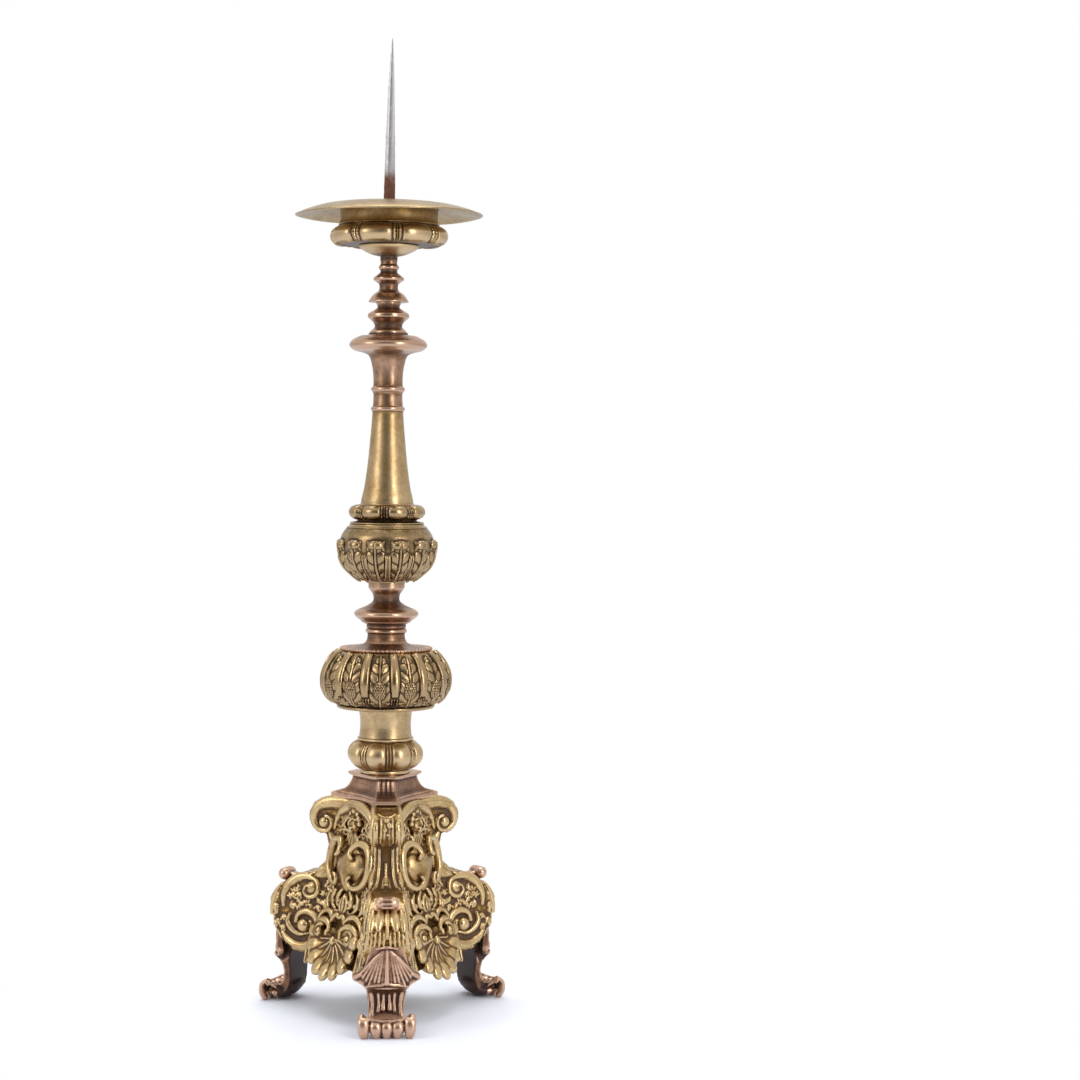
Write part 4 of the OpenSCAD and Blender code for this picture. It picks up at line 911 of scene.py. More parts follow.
def panel_shell(c):
    """A hollow scallop: deepest in its middle, with flutes that run out to a thick lobed rim."""
    flutes, hinge = 9, 75.0
    for k in range(flutes):
        a = math.radians(-92 + 184 * k / (flutes - 1))
        out = np.linspace(4.0, 40.5 - 2.0 * math.sin(a) ** 2, 7)
        rise = np.array([6.6, 5.6, 4.6, 4.4, 5.6, 8.2, 9.4]) - 1.4 * abs(math.sin(a))
        pts = np.stack([math.sin(a) * out, rise, hinge - math.cos(a) * out * 0.86], 1)
        c.roll(pts, [1.0, 1.5, 2.3, 3.4, 5.4, 8.0, 7.4], [1.6, 1.8, 2.0, 2.2, 2.8, 3.8, 4.2], n=26)
        if k < flutes - 1:
            b = a + math.radians(184 / (flutes - 1) / 2)
            pts = [(math.sin(b) * r, y, hinge - math.cos(b) * r * 0.86)
                   for r, y in ((5, 7.2), (14, 6.2), (24, 6.0), (33, 7.4))]
            c.roll(pts, [0.8, 1.1, 1.2, 0.9], 1.3, n=20)
    fan = [(math.sin(t) * 39, hinge - math.cos(t) * 39 * 0.86)
           for t in np.radians(np.linspace(-98, 98, 26))]
    c.dome(fan + [(26, 88), (-26, 88)], (0, 64), 4.6, steps=7)
    c.ball((0, 8.4, 72.5), (4.0, 3.6, 4.6))

# %% Side panel: joined, roughened and set round
def pellets(p, above, seed, lift=0.9, pitch=2.6):
    """How far small round grains push out the points p of the ground, where above is near 0."""
    rng = np.random.default_rng(seed)
    jog = rng.uniform(-0.25, 0.25, (64, 64, 2))
    u, v = p[:, 0] / pitch, p[:, 2] / pitch
    best = np.full(len(p), 9.0)
    for du in (-1, 0, 1):
        for dv in (-1, 0, 1):
            iu, iv = np.floor(u).astype(int) + du, np.floor(v).astype(int) + dv
            c = jog[iu % 64, iv % 64]
            best = np.minimum(best, np.hypot(u - iu - 0.5 - c[:, 0], v - iv - 0.5 - c[:, 1]))
    grain = np.sqrt(np.clip(1 - (best / 0.55) ** 2, 0, 1)) * lift
    return np.where(np.abs(above) < 1.2, grain, 0)


panel_clay = Clay()
panel_board(panel_clay)
for s in (1, -1):
    panel_scrolls(panel_clay, s)
    panel_leaves(panel_clay, s)
    panel_lips(panel_clay, s)
for form in (panel_head, panel_shield, panel_shell):
    form(panel_clay)
panel_first = panel_clay.skin("side_panel_1_cast", VOXEL, BRASS)
wear_from_shape(panel_first, base=0.46, **CLAY_WEAR)
flat_panel = points(panel_first)
flat_panel[:, 1] += pellets(flat_panel, flat_panel[:, 1], seed=5)
thinned(panel_first, flat_panel, KEPT)
three_of(panel_first, "side_panel", "cast_brass", [a - 90 for a in FACE_TURN], bend_panel)

# %% [markdown]
# A scroll bracket stands at each corner. Seen from its side it is a volute over a hollow throat
# over a large scroll that ends in two curls. The flank is a board too, tapered with the bracket;
# its front carries reeds, flutes and a string of husks.

# %% Scroll bracket
VOLUTE, VOLUTE_R = (61.5, BASE_H - 18.5), 16.8
SCROLL, SCROLL_R = (77.0, 93.5), 40.0
THROAT, THROAT_R = (84.0, 158.0), 28.0
STRAP_SLOT, STRAP_T = 14.75, 6.0


def arc(at, r, a0, a1, n=16):
    """Points on a circle, from angle a0 to a1 in degrees."""
    turns = np.radians(np.linspace(a0, a1, n))
    return [(at[0] + r * math.cos(a), at[1] + r * math.sin(a)) for a in turns]


def bracket_outline():
    """The bracket's side view, clockwise from the cap."""
    return ([(30, BASE_H), (VOLUTE[0], BASE_H)] + arc(VOLUTE, VOLUTE_R, 84, -92)
            + arc(THROAT, THROAT_R, 143, 256) + arc(SCROLL, SCROLL_R, 90, -175, 44)
            + [(38, SCROLL[1] + 12), (42, 140), (30, 178)])

# %% Scroll bracket: curls of the flank, cheeks and plates
UPPER_CURL = [(104.6, 98.5), (104.6, 109.0), (99.0, 120.2), (89.0, 127.4), (78.0, 128.8), (68.6, 125.0),
              (65.2, 117.6), (68.8, 110.8), (76.2, 109.8), (80.6, 114.8), (78.4, 120.2), (73.4, 120.0)]
LOWER_CURL = [(103.5, 72.0), (96.5, 64.4), (86.0, 59.6), (74.0, 60.8), (65.0, 68.6), (62.0, 80.2),
              (66.6, 90.6), (76.4, 94.8), (85.6, 91.6), (88.6, 84.0)]
HOOK = [(95.8, 91.0), (97.8, 83.6), (93.0, 76.2), (84.0, 71.6), (74.6, 73.2)]
THROAT_BAND = [(55.5, 175), (51.2, 166), (50.0, 157), (51.6, 147), (57.0, 139), (64.5, 133.2), (70, 130)]
BANDS = (UPPER_CURL, LOWER_CURL, HOOK, THROAT_BAND)


def bracket_body(c):
    """The cheeks and the plates between them. x runs away from the stem, y to its side, z up."""
    shape = np.asarray(bracket_outline())
    for s in (1, -1):
        # a cheek: one course of clay for each 2.5 mm of height
        rings = []
        for z in np.linspace(SCROLL[1] - SCROLL_R + 0.6, BASE_H, 64):
            cuts = []
            for (d0, z0), (d1, z1) in zip(shape, np.roll(shape, -1, 0)):
                if (z0 - z) * (z1 - z) <= 0 and z0 != z1:
                    cuts.append(d0 + (d1 - d0) * (z - z0) / (z1 - z0))
            near, away = min(cuts), max(cuts)
            w = half_bracket(z)
            rings.append(np.array([(near, s * (w - 4), z), (away, s * (w - 4), z),
                                   (away, s * w, z), (near, s * w, z)]))
        c.rings(rings)

    def edge(s):
        """The flank on side s, as a depth for slabs."""
        return lambda d, z: s * (half_bracket(z) - 0.3)

    c.slab([(30, BASE_H), (VOLUTE[0], BASE_H)] + arc(VOLUTE, VOLUTE_R, 84, -92)
           + arc(THROAT, THROAT_R, 143, 256)
           + arc(THROAT, THROAT_R + 4.5, 256, 150) + arc(VOLUTE, VOLUTE_R - 4.5, -92, 84)
           + [(30, BASE_H - 5)], edge(-1), edge(1))
    c.slab(arc(SCROLL, SCROLL_R - STRAP_T, 96, -100, 30)
           + arc(SCROLL, SCROLL_R - STRAP_T - 4, -100, 96, 30), edge(-1), edge(1))
    c.slab(arc(SCROLL, SCROLL_R, 100, 60, 10) + arc(SCROLL, SCROLL_R - 9, 60, 100, 10), edge(-1), edge(1))
    for lo, hi in ((STRAP_SLOT, edge(1)), (edge(-1), -STRAP_SLOT)):
        c.slab(arc(SCROLL, SCROLL_R, 84, -175, 44) + arc(SCROLL, SCROLL_R - 9, -175, 84, 44), lo, hi)

# %% Scroll bracket: flank
def bracket_flank(c, s):
    """Scrolls and leaves on one flank; b makes board points from a drawing and a depth."""
    def b(pts, depth):
        pts = np.asarray(pts, float)
        d = np.interp(np.linspace(0, 1, len(pts)), np.linspace(0, 1, np.size(depth)), np.atleast_1d(depth))
        return np.stack([pts[:, 0], s * (half_bracket(pts[:, 1]) + d), pts[:, 1]], 1)

    def ball(d, z, lift, size, n=14):
        c.ball((d, s * (half_bracket(z) + lift), z), size, n=n)

    # upper volute: a broad band from the cap round to its eye
    c.roll(b([(33, 205.0), (46, 205.8), (58, 205.4), (68.5, 201.5), (73.6, 193.0), (72.6, 183.8),
              (66.6, 177.6), (58.4, 177.2), (53.2, 182.4), (53.8, 189.4), (59.4, 192.0)],
             (0.6, 0.6, 1.2, 2.6)),
           [6.4, 6.8, 6.8, 6.4, 5.4, 4.4, 3.6, 3.0, 2.6, 2.2, 1.8],
           [3.4, 3.8, 4.0, 3.8, 3.2, 3.0, 2.8], n=60)
    ball(61.6, 185.2, 2.4, (5.6, 4.0, 5.6), n=20)
    # throat: a smooth band beside the hollow that widens to its foot
    c.roll(b(THROAT_BAND, (0.2, 0.8)),
           [2.6, 4.6, 5.4, 6.4, 7.6, 7.6, 3.0], [2.6, 3.4, 3.6, 3.8, 3.8, 2.6], n=44)
    c.roll(b([(50, 139), (53.5, 129), (58, 121)], 0.2), [2.0, 2.6, 1.0], [1.6, 2.2, 1.4], n=14)
    # upper curl of the lower scroll: a tail that rises along the edge, sweeps over and rolls in
    c.roll(b(UPPER_CURL, (0.4, 0.6, 1.4, 3.4)),
           [1.8, 3.6, 5.0, 5.4, 4.8, 3.8, 3.4, 3.2, 3.0, 2.6, 2.2, 1.6],
           [2.4, 3.4, 3.8, 3.6, 3.2, 3.0, 3.0], n=72)
    ball(72.6, 117.6, 1.8, (7.0, 3.4, 7.0), n=20)
    # lower curl: round under its eye and up, with a hook leaf inside it
    c.roll(b(LOWER_CURL, (0.4, 0.8, 1.6)),
           [2.0, 4.2, 5.2, 5.4, 5.0, 4.6, 4.4, 4.0, 3.2, 2.2], [2.4, 3.6, 4.0, 3.8, 3.4, 3.0], n=66)
    ball(79.4, 80.6, 2.6, (6.6, 4.4, 6.6), n=22)
    c.roll(b(HOOK, (1.6, 1.6, 0.8)), [1.6, 3.0, 3.0, 2.2, 1.2],
           [2.4, 3.2, 2.8, 1.8], n=24)
    # small three-lobed leaves fill the ground, wherever no scroll lies
    rng = np.random.default_rng(4)
    tracks = np.vstack([curve(t, 30) for t in BANDS])
    for d in np.arange(42, 118, 5.6):
        for z in np.arange(56, 172, 5.6):
            at = np.array([d, z]) + rng.uniform(-1.6, 1.6, 2)
            a, r = rng.uniform(0, 360), rng.uniform(4.4, 6.2)
            from_scroll = math.hypot(at[0] - SCROLL[0], at[1] - SCROLL[1])
            free = np.min(np.hypot(tracks[:, 0] - at[0], tracks[:, 1] - at[1]))
            if free < 6.0 or not (from_scroll < SCROLL_R - 3.4 or (at[1] > 120 and at[0] < 52)):
                continue
            if from_scroll > SCROLL_R - 12:
                a = math.degrees(math.atan2(at[1] - SCROLL[1], at[0] - SCROLL[0])) + rng.uniform(-40, 40)
            t = math.radians(a)
            for turn in (-0.8, 0, 0.8):
                e = (at[0] + r * 0.8 * math.cos(t + turn), at[1] + r * 0.8 * math.sin(t + turn))
                c.roll(b([tuple(at), ((at[0] + e[0]) / 2, (at[1] + e[1]) / 2), e], (0.2, 1.3)),
                       [0.9, 1.6, 1.0], [1.3, 2.1, 1.5], n=8)
    for d, z, r in ((82.0, 101.6, 1.7), (77.4, 101.0, 1.8), (72.8, 100.0, 1.8), (68.0, 98.6, 1.8),
                    (62.6, 96.4, 2.0)):
        ball(d, z, 0.8, (r, r * 1.1, r), n=10)

# %% Scroll bracket: front of the volute, and throat
def outward(turns, n):
    """Outward directions, in the bracket's frame, at n points along a run of angles."""
    t = np.radians(np.interp(np.linspace(0, 1, n), np.linspace(0, 1, len(turns)), turns))
    return np.stack([np.cos(t), 0 * t, np.sin(t)], 1)


def volute_front(c):
    """Three tongues with round ends, a husk on the middle one, and a ledge above."""
    vx, vz = VOLUTE

    def on_volute(t, y, h):
        (x, z), = arc(VOLUTE, VOLUTE_R + h, t, t, 1)
        return x, y, z

    turns = (30, 12, -12, -36, -58, -76)
    out = outward(turns, 26)
    for y, w in ((-10.0, 2.7), (0, 5.4), (10.0, 2.7)):
        c.roll([on_volute(t, y * (1 + 0.015 * k), -2.0 if k == 0 else -0.6) for k, t in enumerate(turns)],
               [w * 0.8, w * 0.9, w, w, w * 1.05, w * 1.05], [1.4, 2.6, 3.2, 3.8, 4.0], n=26, out=out)
    for y in (-5.6, -2.4, 2.4, 5.6):
        c.roll([on_volute(t, y, 2.4) for t in (34, 8, -20, -48)], [0.9, 1.2, 1.2, 0.9],
               [1.0, 1.3, 1.4], n=18)
    for t, y, r in ((26, 0, 2.6), (12, 2.4, 2.6), (0, -1.6, 2.0), (-14, 1.2, 1.8)):
        c.ball(on_volute(t, y, 2.6), (r * 0.9, r, r * 1.1))
    c.roll([(vx + 8.6, -8.0, vz + 13.4), (vx + 12.0, -3.5, vz + 11.2), (vx + 12.0, 3.5, vz + 11.2),
            (vx + 8.6, 8.0, vz + 13.4)], 1.2, 1.5, n=16,
           out=(0.8, 0, 0.6))


def throat_front(c):
    """A hollow between ridges that spread at the foot, with a string of beads down it."""
    def on_throat(t, y, h):
        (x, z), = arc(THROAT, -(THROAT_R - h), t, t, 1)
        return x, y, z

    turns = (-26, -6, 14, 34, 54, 74)
    out = outward(turns, 28)
    for s in (1, -1):
        for apart, h, wide, thick in (
                ((6.4, 6.4, 6.8, 7.6, 9.6, 13.0), 0.6, [1.5, 1.8, 2.0, 2.0, 1.8, 1.2],
                 [2.4, 2.8, 2.8, 2.2, 1.4]),
                ((10.6, 10.4, 10.6, 11.6, 14.0, 17.0), 0.2, [1.0, 1.2, 1.3, 1.3, 1.3, 1.0],
                 [1.4, 1.6, 1.6, 1.2])):
            c.roll([on_throat(t, s * y, h) for t, y in zip(turns, apart)], wide, thick, n=28, out=out)
        c.roll([on_throat(t, s * y, 0.1) for t, y in zip(turns[3:], (2.6, 3.4, 4.6))],
               [0.9, 1.2, 0.9], [1.2, 1.4, 1.0], n=16, out=out[20])
    for k in range(8):
        c.ball(on_throat(6 + 6.6 * k, 0, 0.9), (1.9, 1.9, 1.9), n=12)

# %% Scroll bracket: joined, roughened and set round
bracket_clay = Clay()
bracket_body(bracket_clay)
for s in (1, -1):
    bracket_flank(bracket_clay, s)
volute_front(bracket_clay)
throat_front(bracket_clay)
bracket_first = bracket_clay.skin("scroll_bracket_1_cast", VOXEL, BRASS)
wear_from_shape(bracket_first, base=0.46, **CLAY_WEAR)
flat_bracket = points(bracket_first)
from_middle = np.abs(flat_bracket[:, 1])
elsewhere = 9.0                          # mm; a height at which no grains are set
above_flank = np.where(from_middle > 11, from_middle - half_bracket(flat_bracket[:, 2]), elsewhere)
flat_bracket[:, 1] += np.sign(flat_bracket[:, 1]) * pellets(flat_bracket, above_flank, seed=9)
thinned(bracket_first, flat_bracket, KEPT)
three_of(bracket_first, "scroll_bracket", "cast_brass", CORNER_TURN, lambda x, y, z: (x, y, z))

# %% [markdown]
# Each leg is one copper strap that wraps the scroll's front, ends above in a small curl and runs
# down into an apron with ears, a hollow neck and a rolled foot of five lobes. It is modelled
# facing the reader: x across, y outwards from the stem, z up.

# %% Leg
FOOT_W, TOE_AT = 56.0, 132.5
CURL, CURL_R = (112.4, 127.4), 6.4


def bar(clay, outline, half):
    """A bar across the board: its [y, z] outline is extruded to half(z) on both sides."""
    clay.rings([np.array([(s * half(z), d, z) for d, z in outline]) for s in (-1, 1)])


def on_scroll(t, x, h):
    """A point across x on the scroll's rim, at angle t, h mm out of it."""
    a = math.radians(t)
    return (x, SCROLL[0] + (SCROLL_R + h) * math.cos(a), SCROLL[1] + (SCROLL_R + h) * math.sin(a))


def scroll_out(turns, n):
    """Outward directions along a run of angles on the scroll's rim."""
    t = np.radians(np.interp(np.linspace(0, 1, n), np.linspace(0, 1, len(turns)), turns))
    return np.stack([0 * t, np.cos(t), np.sin(t)], 1)


def leg_half(z):
    """Half the width of the strap and neck at height z."""
    return float(np.interp(z, [-1, 8, 20, 30, 40, 46, 52, 64, 90],
                           [17.8, 17.6, 17.0, 17.2, 19.2, 20.0, 17.0, 14.3, 14.3]))


def apron_at(x, z):
    """Distance of the apron's face from the stem."""
    middle = np.interp(z, [46, 51, 55, 60, 66, 74, 84], [116.8, 117.0, 117.0, 117.0, 117.2, 117.8, 118.4])
    return float(middle) - 0.0135 * x * x

# %% Leg: strap, apron and foot
def leg_strap(c):
    """The strap round the scroll with its curl, and on down to the foot's neck."""
    bar(c, arc(SCROLL, SCROLL_R - 0.2, 60, -38, 30) + arc(SCROLL, SCROLL_R - STRAP_T, -38, 60, 30),
        lambda z: 14.3)
    # the curl above the scroll, and its neck
    bar(c, arc(SCROLL, SCROLL_R - 1, 60, 36, 6) + [(112, 123), (108, 130), (103, 129)], lambda z: 5.0)
    c.roll([(-5.4, CURL[0], CURL[1]), (5.4, CURL[0], CURL[1])], CURL_R, CURL_R, n=12, sides=20)
    for s in (1, -1):
        snail = zip(np.linspace(2.2, -5, 12), np.linspace(5.0, 1.0, 12))
        c.roll([(s * 6.0, CURL[0] + r * math.cos(a), CURL[1] + r * math.sin(a)) for a, r in snail],
               [1.3, 1.1, 0.9], 1.2, n=26, out=(1, 0, 0.01))
    for d, z in arc(CURL, CURL_R, -35, 35, 3):
        c.roll([(-4.4, d, z), (4.4, d, z)], 1.0, 1.2, n=8, out=(0, 1, 0.2))
    # down to the lip, recess, neck and back, as in the solid
    front = curve(arc(SCROLL, SCROLL_R, -34, -34, 1)
                  + [(112.4, 62), (113.8, 55), (116.2, 51), (116.5, 47.6)], 14)
    recess = curve([(111.5, 43.5), (107, 38), (105.5, 30), (106.5, 22), (113, 14)], 14)
    back = curve([(113, 2), (104, 8), (99, 18), (98, 30), (98.5, 42), (97, 52), (95, 60)], 18)
    inner = arc(SCROLL, SCROLL_R - STRAP_T, -62, -34, 8)
    bar(c, np.vstack([front, recess, back, inner]), leg_half)


def leg_apron(c):
    """A plate that swells to the lip and sweeps back to its ears, with fanned grooves."""
    shape = [(16.5, 87), (18.2, 79), (19.6, 72), (21.8, 65.5), (25.6, 60.6), (29.6, 57.8), (32.8, 55.6),
             (32.4, 52.0), (28.5, 50.2), (23.6, 47.8), (19.8, 45)]
    spread = np.linspace(-1, 1, 13)
    rows = [np.array([(f * x, apron_at(f * x, z), z) for f in spread]
                     + [(f * x, apron_at(f * x, z) - 6.5, z) for f in spread[::-1]])
            for x, z in curve(shape, 30)]
    for upper, lower in zip(rows[:-1], rows[1:]):
        c.rings([upper, lower])
    for s in (1, -1):
        # the ears roll forward
        c.roll([(s * 24, apron_at(24, 60) + 0.2, 58.6), (s * 28.5, apron_at(29.5, 56) + 0.6, 55.6),
                (s * 31.0, apron_at(33, 54) + 0.2, 53.4)], [2.0, 2.4, 1.9], [2.2, 2.8, 2.2], n=14)
        # feathered grooves that fan down from under the leaf
        for k, (x1, z1) in enumerate(((3.8, 52.4), (7.6, 52.2), (11.6, 52.0), (15.6, 52.2), (19.4, 53.2),
                                      (22.6, 55.4), (24.4, 59.0))):
            x0, z0 = 1.4 + 1.7 * k, 84.0 - 1.4 * k
            mx, mz = x0 + (x1 - x0) * 0.42, (z0 + z1) / 2 + 1.5
            pts = [(s * x0, apron_at(x0, z0) + 0.2, z0), (s * mx, apron_at(mx, mz) + 0.5, mz),
                   (s * x1, apron_at(x1, z1) + 0.3, z1)]
            c.roll(pts, [0.9, 1.4, 1.5], [1.0, 1.5, 1.2], n=18)
    c.roll([(0, apron_at(0, 84) + 0.6, 84), (0, apron_at(0, 70) + 1.2, 70), (0, apron_at(0, 58) + 1.6, 58),
            (0, apron_at(0, 51) + 1.4, 51.0)], [1.0, 1.5, 1.9, 2.4], [1.2, 1.7, 2.0, 2.2], n=22)
    # the lip over the recess, with a raised cusp in its middle, and the small lip under the leaf
    c.roll([(-20.5, 112.6, 46.8), (-14, 114.6, 48.6), (-6, 116.4, 49.4), (0, 117.4, 51.2), (6, 116.4, 49.4),
            (14, 114.6, 48.6), (20.5, 112.6, 46.8)],
           [1.3, 1.7, 1.8, 2.2, 1.8, 1.7, 1.3], 2.0, n=34)
    c.roll([(-9, apron_at(9, 85) - 0.4, 84.5), (0, apron_at(0, 86) + 1.8, 86.5),
            (9, apron_at(9, 85) - 0.4, 84.5)], [1.0, 1.7, 1.0], [1.4, 2.0, 1.4], n=14)


def leg_foot(c):
    """The neck with two drops and ridges, and the foot: a spoon with five round lobes."""
    for s in (1, -1):
        c.roll([(s * 2.6, 106.6, 41), (s * 2.9, 107.2, 32), (s * 3.0, 108.4, 24)], [0.9, 1.5, 2.4],
               [1.2, 1.8, 2.4], n=18)
        c.roll([(s * 8.4, 107.4, 43), (s * 7.4, 106.4, 32), (s * 8.0, 107.8, 22)],
               [1.2, 1.5, 1.8], 1.8, n=18)
        c.roll([(s * 16.6, 108.0, 47), (s * 14.2, 106.4, 36), (s * 13.2, 105.6, 28), (s * 14.0, 107.2, 18)],
               [1.8, 2.2, 2.0, 2.2], 2.4, n=22)
    c.roll([(0, 101, 14), (0, 108, 8.4), (0, 113, 7.0), (0, 116.5, 7.6)], [15.5, 17.5, 20.5, 22.0],
           [4.2, 5.2, 6.2, 6.6], n=26, out=(0, 0, 1), sides=20)
    pitch = (FOOT_W - 4.0) / 5
    for k in range(5):
        x = (k - 2) * pitch * (1.06 if abs(k - 2) == 2 else 1.0)
        edge = abs(k - 2) == 2
        top = 18.6 if edge else 15.6
        pts = [(x * 0.80, 110.0, top - 6.5), (x * 0.92, 117.5, top - 2.4), (x, 123.2, top),
               (x * 1.02, 127.0, top - 3.0), (x * 1.02, 127.6, 8.2), (x * 0.98, 125.6, 3.2)]
        c.roll(pts, [2.8, 4.6, 5.5, 5.5, 5.4, 4.6], [2.2, 2.4, 2.6, 2.9, 3.2, 3.0], n=30,
               out=np.stack([np.zeros(30), np.sin(np.linspace(0, 2.2, 30)),
                             np.cos(np.linspace(0, 2.2, 30))], 1))
        if edge:
            c.roll([(x * 0.98, 119, top + 0.8), (x * 1.12, 122, top + 2.2), (x * 1.16, 119.5, top - 1.4)],
                   [2.2, 2.6, 1.8], 2.0, n=12)
    c.roll([(-21, 124.6, 19.8), (-12, 126.2, 17.8), (0, 127.0, 17.2), (12, 126.2, 17.8), (21, 124.6, 19.8)],
           1.3, 1.3, n=30)

# %% Leg: joined, painted shade on its back, and set round
leg_clay = Clay()
for form in (leg_strap, leg_apron, leg_foot):
    form(leg_clay)
leg_first = leg_clay.skin("leg_1_cast", VOXEL, COPPER)
wear_from_shape(leg_first, base=0.5, **CLAY_WEAR)
flat_leg = points(leg_first)
# painted shade: the back of the strap, which faces the stem, is darkened almost to black
painted_back_shade = np.clip(0.45 - points(leg_first, "normal")[:, 1] * 1.2, 0, 1)
painted_back_shade *= (flat_leg[:, 2] < 92) * (flat_leg[:, 1] < 112)
set_wear_and_shade(leg_first, wear_and_shade_of(leg_first) * (1 - painted_back_shade) - 0.1 * painted_back_shade)
thinned(leg_first, flat_leg, KEPT)
three_of(leg_first, "leg", "copper_alloy", CORNER_TURN,
         lambda x, y, z: (np.minimum(y, TOE_AT), -x, np.maximum(z, 0.0)))    # the toe and sole are flat

# %% [markdown]
# A brass leaf lies over each strap, pinned through it: a middle rib, lobes beside it and a curled
# husk at its top.

# %% Corner leaf
def leaf_clay():
    """One corner leaf, facing the reader, wrapped round the scroll's rim."""
    c = Clay()
    span = np.linspace(40, -9, 16)
    wide = np.interp(span, [-9, 0, 14, 26, 34, 40], [18.0, 19.0, 19.2, 19.0, 18.4, 14.0])
    strip = []
    for h in (0.2, 1.8):
        strip.append([np.array([on_scroll(t, f * w, h) for f in np.linspace(-1, 1, 9)])
                      for t, w in zip(span, wide)])
    for i in range(len(span) - 1):
        c.rings([np.vstack([strip[0][i], strip[1][i][::-1]]),
                 np.vstack([strip[0][i + 1], strip[1][i + 1][::-1]])])

    def vein(x0, x1, t0, t1, w, up, tip=1.0):
        """One long lobe, from x0 at angle t0 to x1 at t1."""
        turns = np.linspace(t0, t1, 6)
        pts = [on_scroll(t, x0 + (x1 - x0) * f, up + tip * f * f)
               for f, t in zip(np.linspace(0, 1, 6), turns)]
        c.roll(pts, [w * 0.5, w * 0.8, w, w, w, w * 0.7], [1.2, 2.0, 2.6, 2.6, 2.4], n=30,
               out=scroll_out(turns, 30))

    # the lance in the middle, over a dark hollow; two full lobes beside it; leaf edges outside
    vein(0, 0, 39, 2, 2.3, 3.4, 0.6)
    for s in (1, -1):
        vein(s * 5.6, s * 8.4, 38, 14, 4.6, 2.8, 2.8)
        c.ball(on_scroll(16, s * 8.2, 4.0), (4.3, 3.2, 4.0))
        vein(s * 13.0, s * 15.8, 38, 12, 3.4, 2.2, 2.4)
        c.ball(on_scroll(12.5, s * 15.4, 3.4), (2.9, 2.8, 3.6))
        vein(s * 17.6, s * 18.8, 36, -7, 1.7, 1.8, 0.6)
        for x0, x1, w in ((2.6, 3.2, 1.7), (6.6, 7.6, 1.7), (10.6, 12.0, 1.6), (14.4, 15.6, 1.4)):
            vein(s * x0, s * x1, 14, -9, w, 1.4, 0.8)
    return c


leaf_first = leaf_clay().skin("corner_leaf_1_cast", 0.7, BRASS)
wear_from_shape(leaf_first, rounds=(3, 20), gains=(1.7, 0.8), base=0.74, unit=1.0)
three_of(leaf_first, "corner_leaf", "cast_brass", CORNER_TURN, lambda x, y, z: (y, -x, z))

# %% [markdown]
# The cap closes the base. It is a three-cornered stack of plates with hollow sides, and its cut
# corners are fluted. Its outline is drawn level by level, with the corners turned up a little.

# %% Three-cornered cap
def cornered(at, width, middle, fluting, n=26, m=13):
    """Plan of a plate: three cut corners, width wide at distance at, and hollow sides between."""
    pts = []
    x = at * math.cos(math.radians(30)) - width / 4
    y = at / 2 + width / 2 * math.cos(math.radians(30))
    rise = y - middle
    r = (x * x + rise * rise) / (2 * rise)
    reach = math.asin(x / r)
    side = []
    for k in range(n + 1):
        a = reach - 2 * reach * k / n
        side.append((r * math.sin(a), middle + r - r * math.cos(a)))
    for turn_by in FACE_TURN:
        t = math.radians(turn_by - 90)
        for px, py in side:
            pts.append((px * math.cos(t) - py * math.sin(t), px * math.sin(t) + py * math.cos(t), 0.0))
        # the cut corner that follows, straight but fluted
        a2 = math.radians(turn_by + 120 - 90)
        nx, ny = side[0]
        end = (nx * math.cos(a2) - ny * math.sin(a2), nx * math.sin(a2) + ny * math.cos(a2))
        start = pts[-1][:2]
        centre = math.radians(turn_by + 60)
        for k in range(1, m):
            f = k / m
            q = (start[0] + (end[0] - start[0]) * f, start[1] + (end[1] - start[1]) * f)
            push = fluting * abs(math.sin(math.pi * f * 4))
            pts.append((q[0] + push * math.cos(centre), q[1] + push * math.sin(centre), 1.0))
    return np.array(pts)


cap_low, cap_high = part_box("tripod_cap")
CAP_Z, CAP_H = cap_low.z * 1000, (cap_high.z - cap_low.z) * 1000
cap_levels = [(0, 54, 20, 28, 0), (0.8, 55.6, 21, 29.4, 0), (2.0, 56, 21, 30, 0), (3.6, 56, 21, 30, 0),
              (4.8, 55.4, 21, 29.4, 0), (5.6, 52.6, 20.4, 28.6, 0), (6.4, 50, 20, 28, 0.3),
              (7.4, 45, 19.6, 26.6, 0.8), (9.0, 40.6, 19, 25, 1.2), (11.0, 37.4, 18.5, 24.2, 1.5),
              (14, 35, 18, 23.6, 1.6), (17, 33.2, 17.6, 23.0, 1.6), (20, 32.0, 17.2, 22.6, 1.6),
              (21.8, 31.6, 17, 22.5, 1.2), (22.6, 33.0, 18, 23.4, 0.4), (23.4, 35.4, 18.8, 24.8, 0),
              (24.2, 36.6, 19, 25.4, 0), (25.4, 37, 19, 25.5, 0), (26.4, 36.8, 19, 25.4, 0),
              (27, 36, 18, 25, 0)]
rings = []
for z, at, width, middle, fluting in cap_levels:
    plan_pts = cornered(at, width, middle, fluting)
    away = np.hypot(plan_pts[:, 0], plan_pts[:, 1])
    lift = 1.6 * np.clip((away - middle) / (at - middle), 0, 1) ** 3 * (1 if z < 6 else 0.7)
    level = np.clip(CAP_Z + z + lift - (1.2 if z < 6 else 0.6), CAP_Z, CAP_Z + CAP_H)
    rings.append(np.stack([plan_pts[:, 0], plan_pts[:, 1], level], 1))
n = len(rings[0])
a = np.arctan2(rings[0][:, 1], rings[0][:, 0])
inner = [np.stack([BORE * np.cos(a), BORE * np.sin(a), np.full(n, z)], 1) for z in (CAP_Z + CAP_H, CAP_Z)]
rows = rings + inner
cap = mesh_object("tripod_cap_cast", np.vstack(rows) / 1000, grid_faces(len(rows), n), COPPER)
finish = cap.modifiers.new("fine", "SUBSURF")
finish.subdivision_type = "SIMPLE"
finish.levels = finish.render_levels = 1
settle(cap)
wear_from_shape(cap, rounds=(3, 16), gains=(1.0, 0.5), base=0.5)
shade(cap, 40)
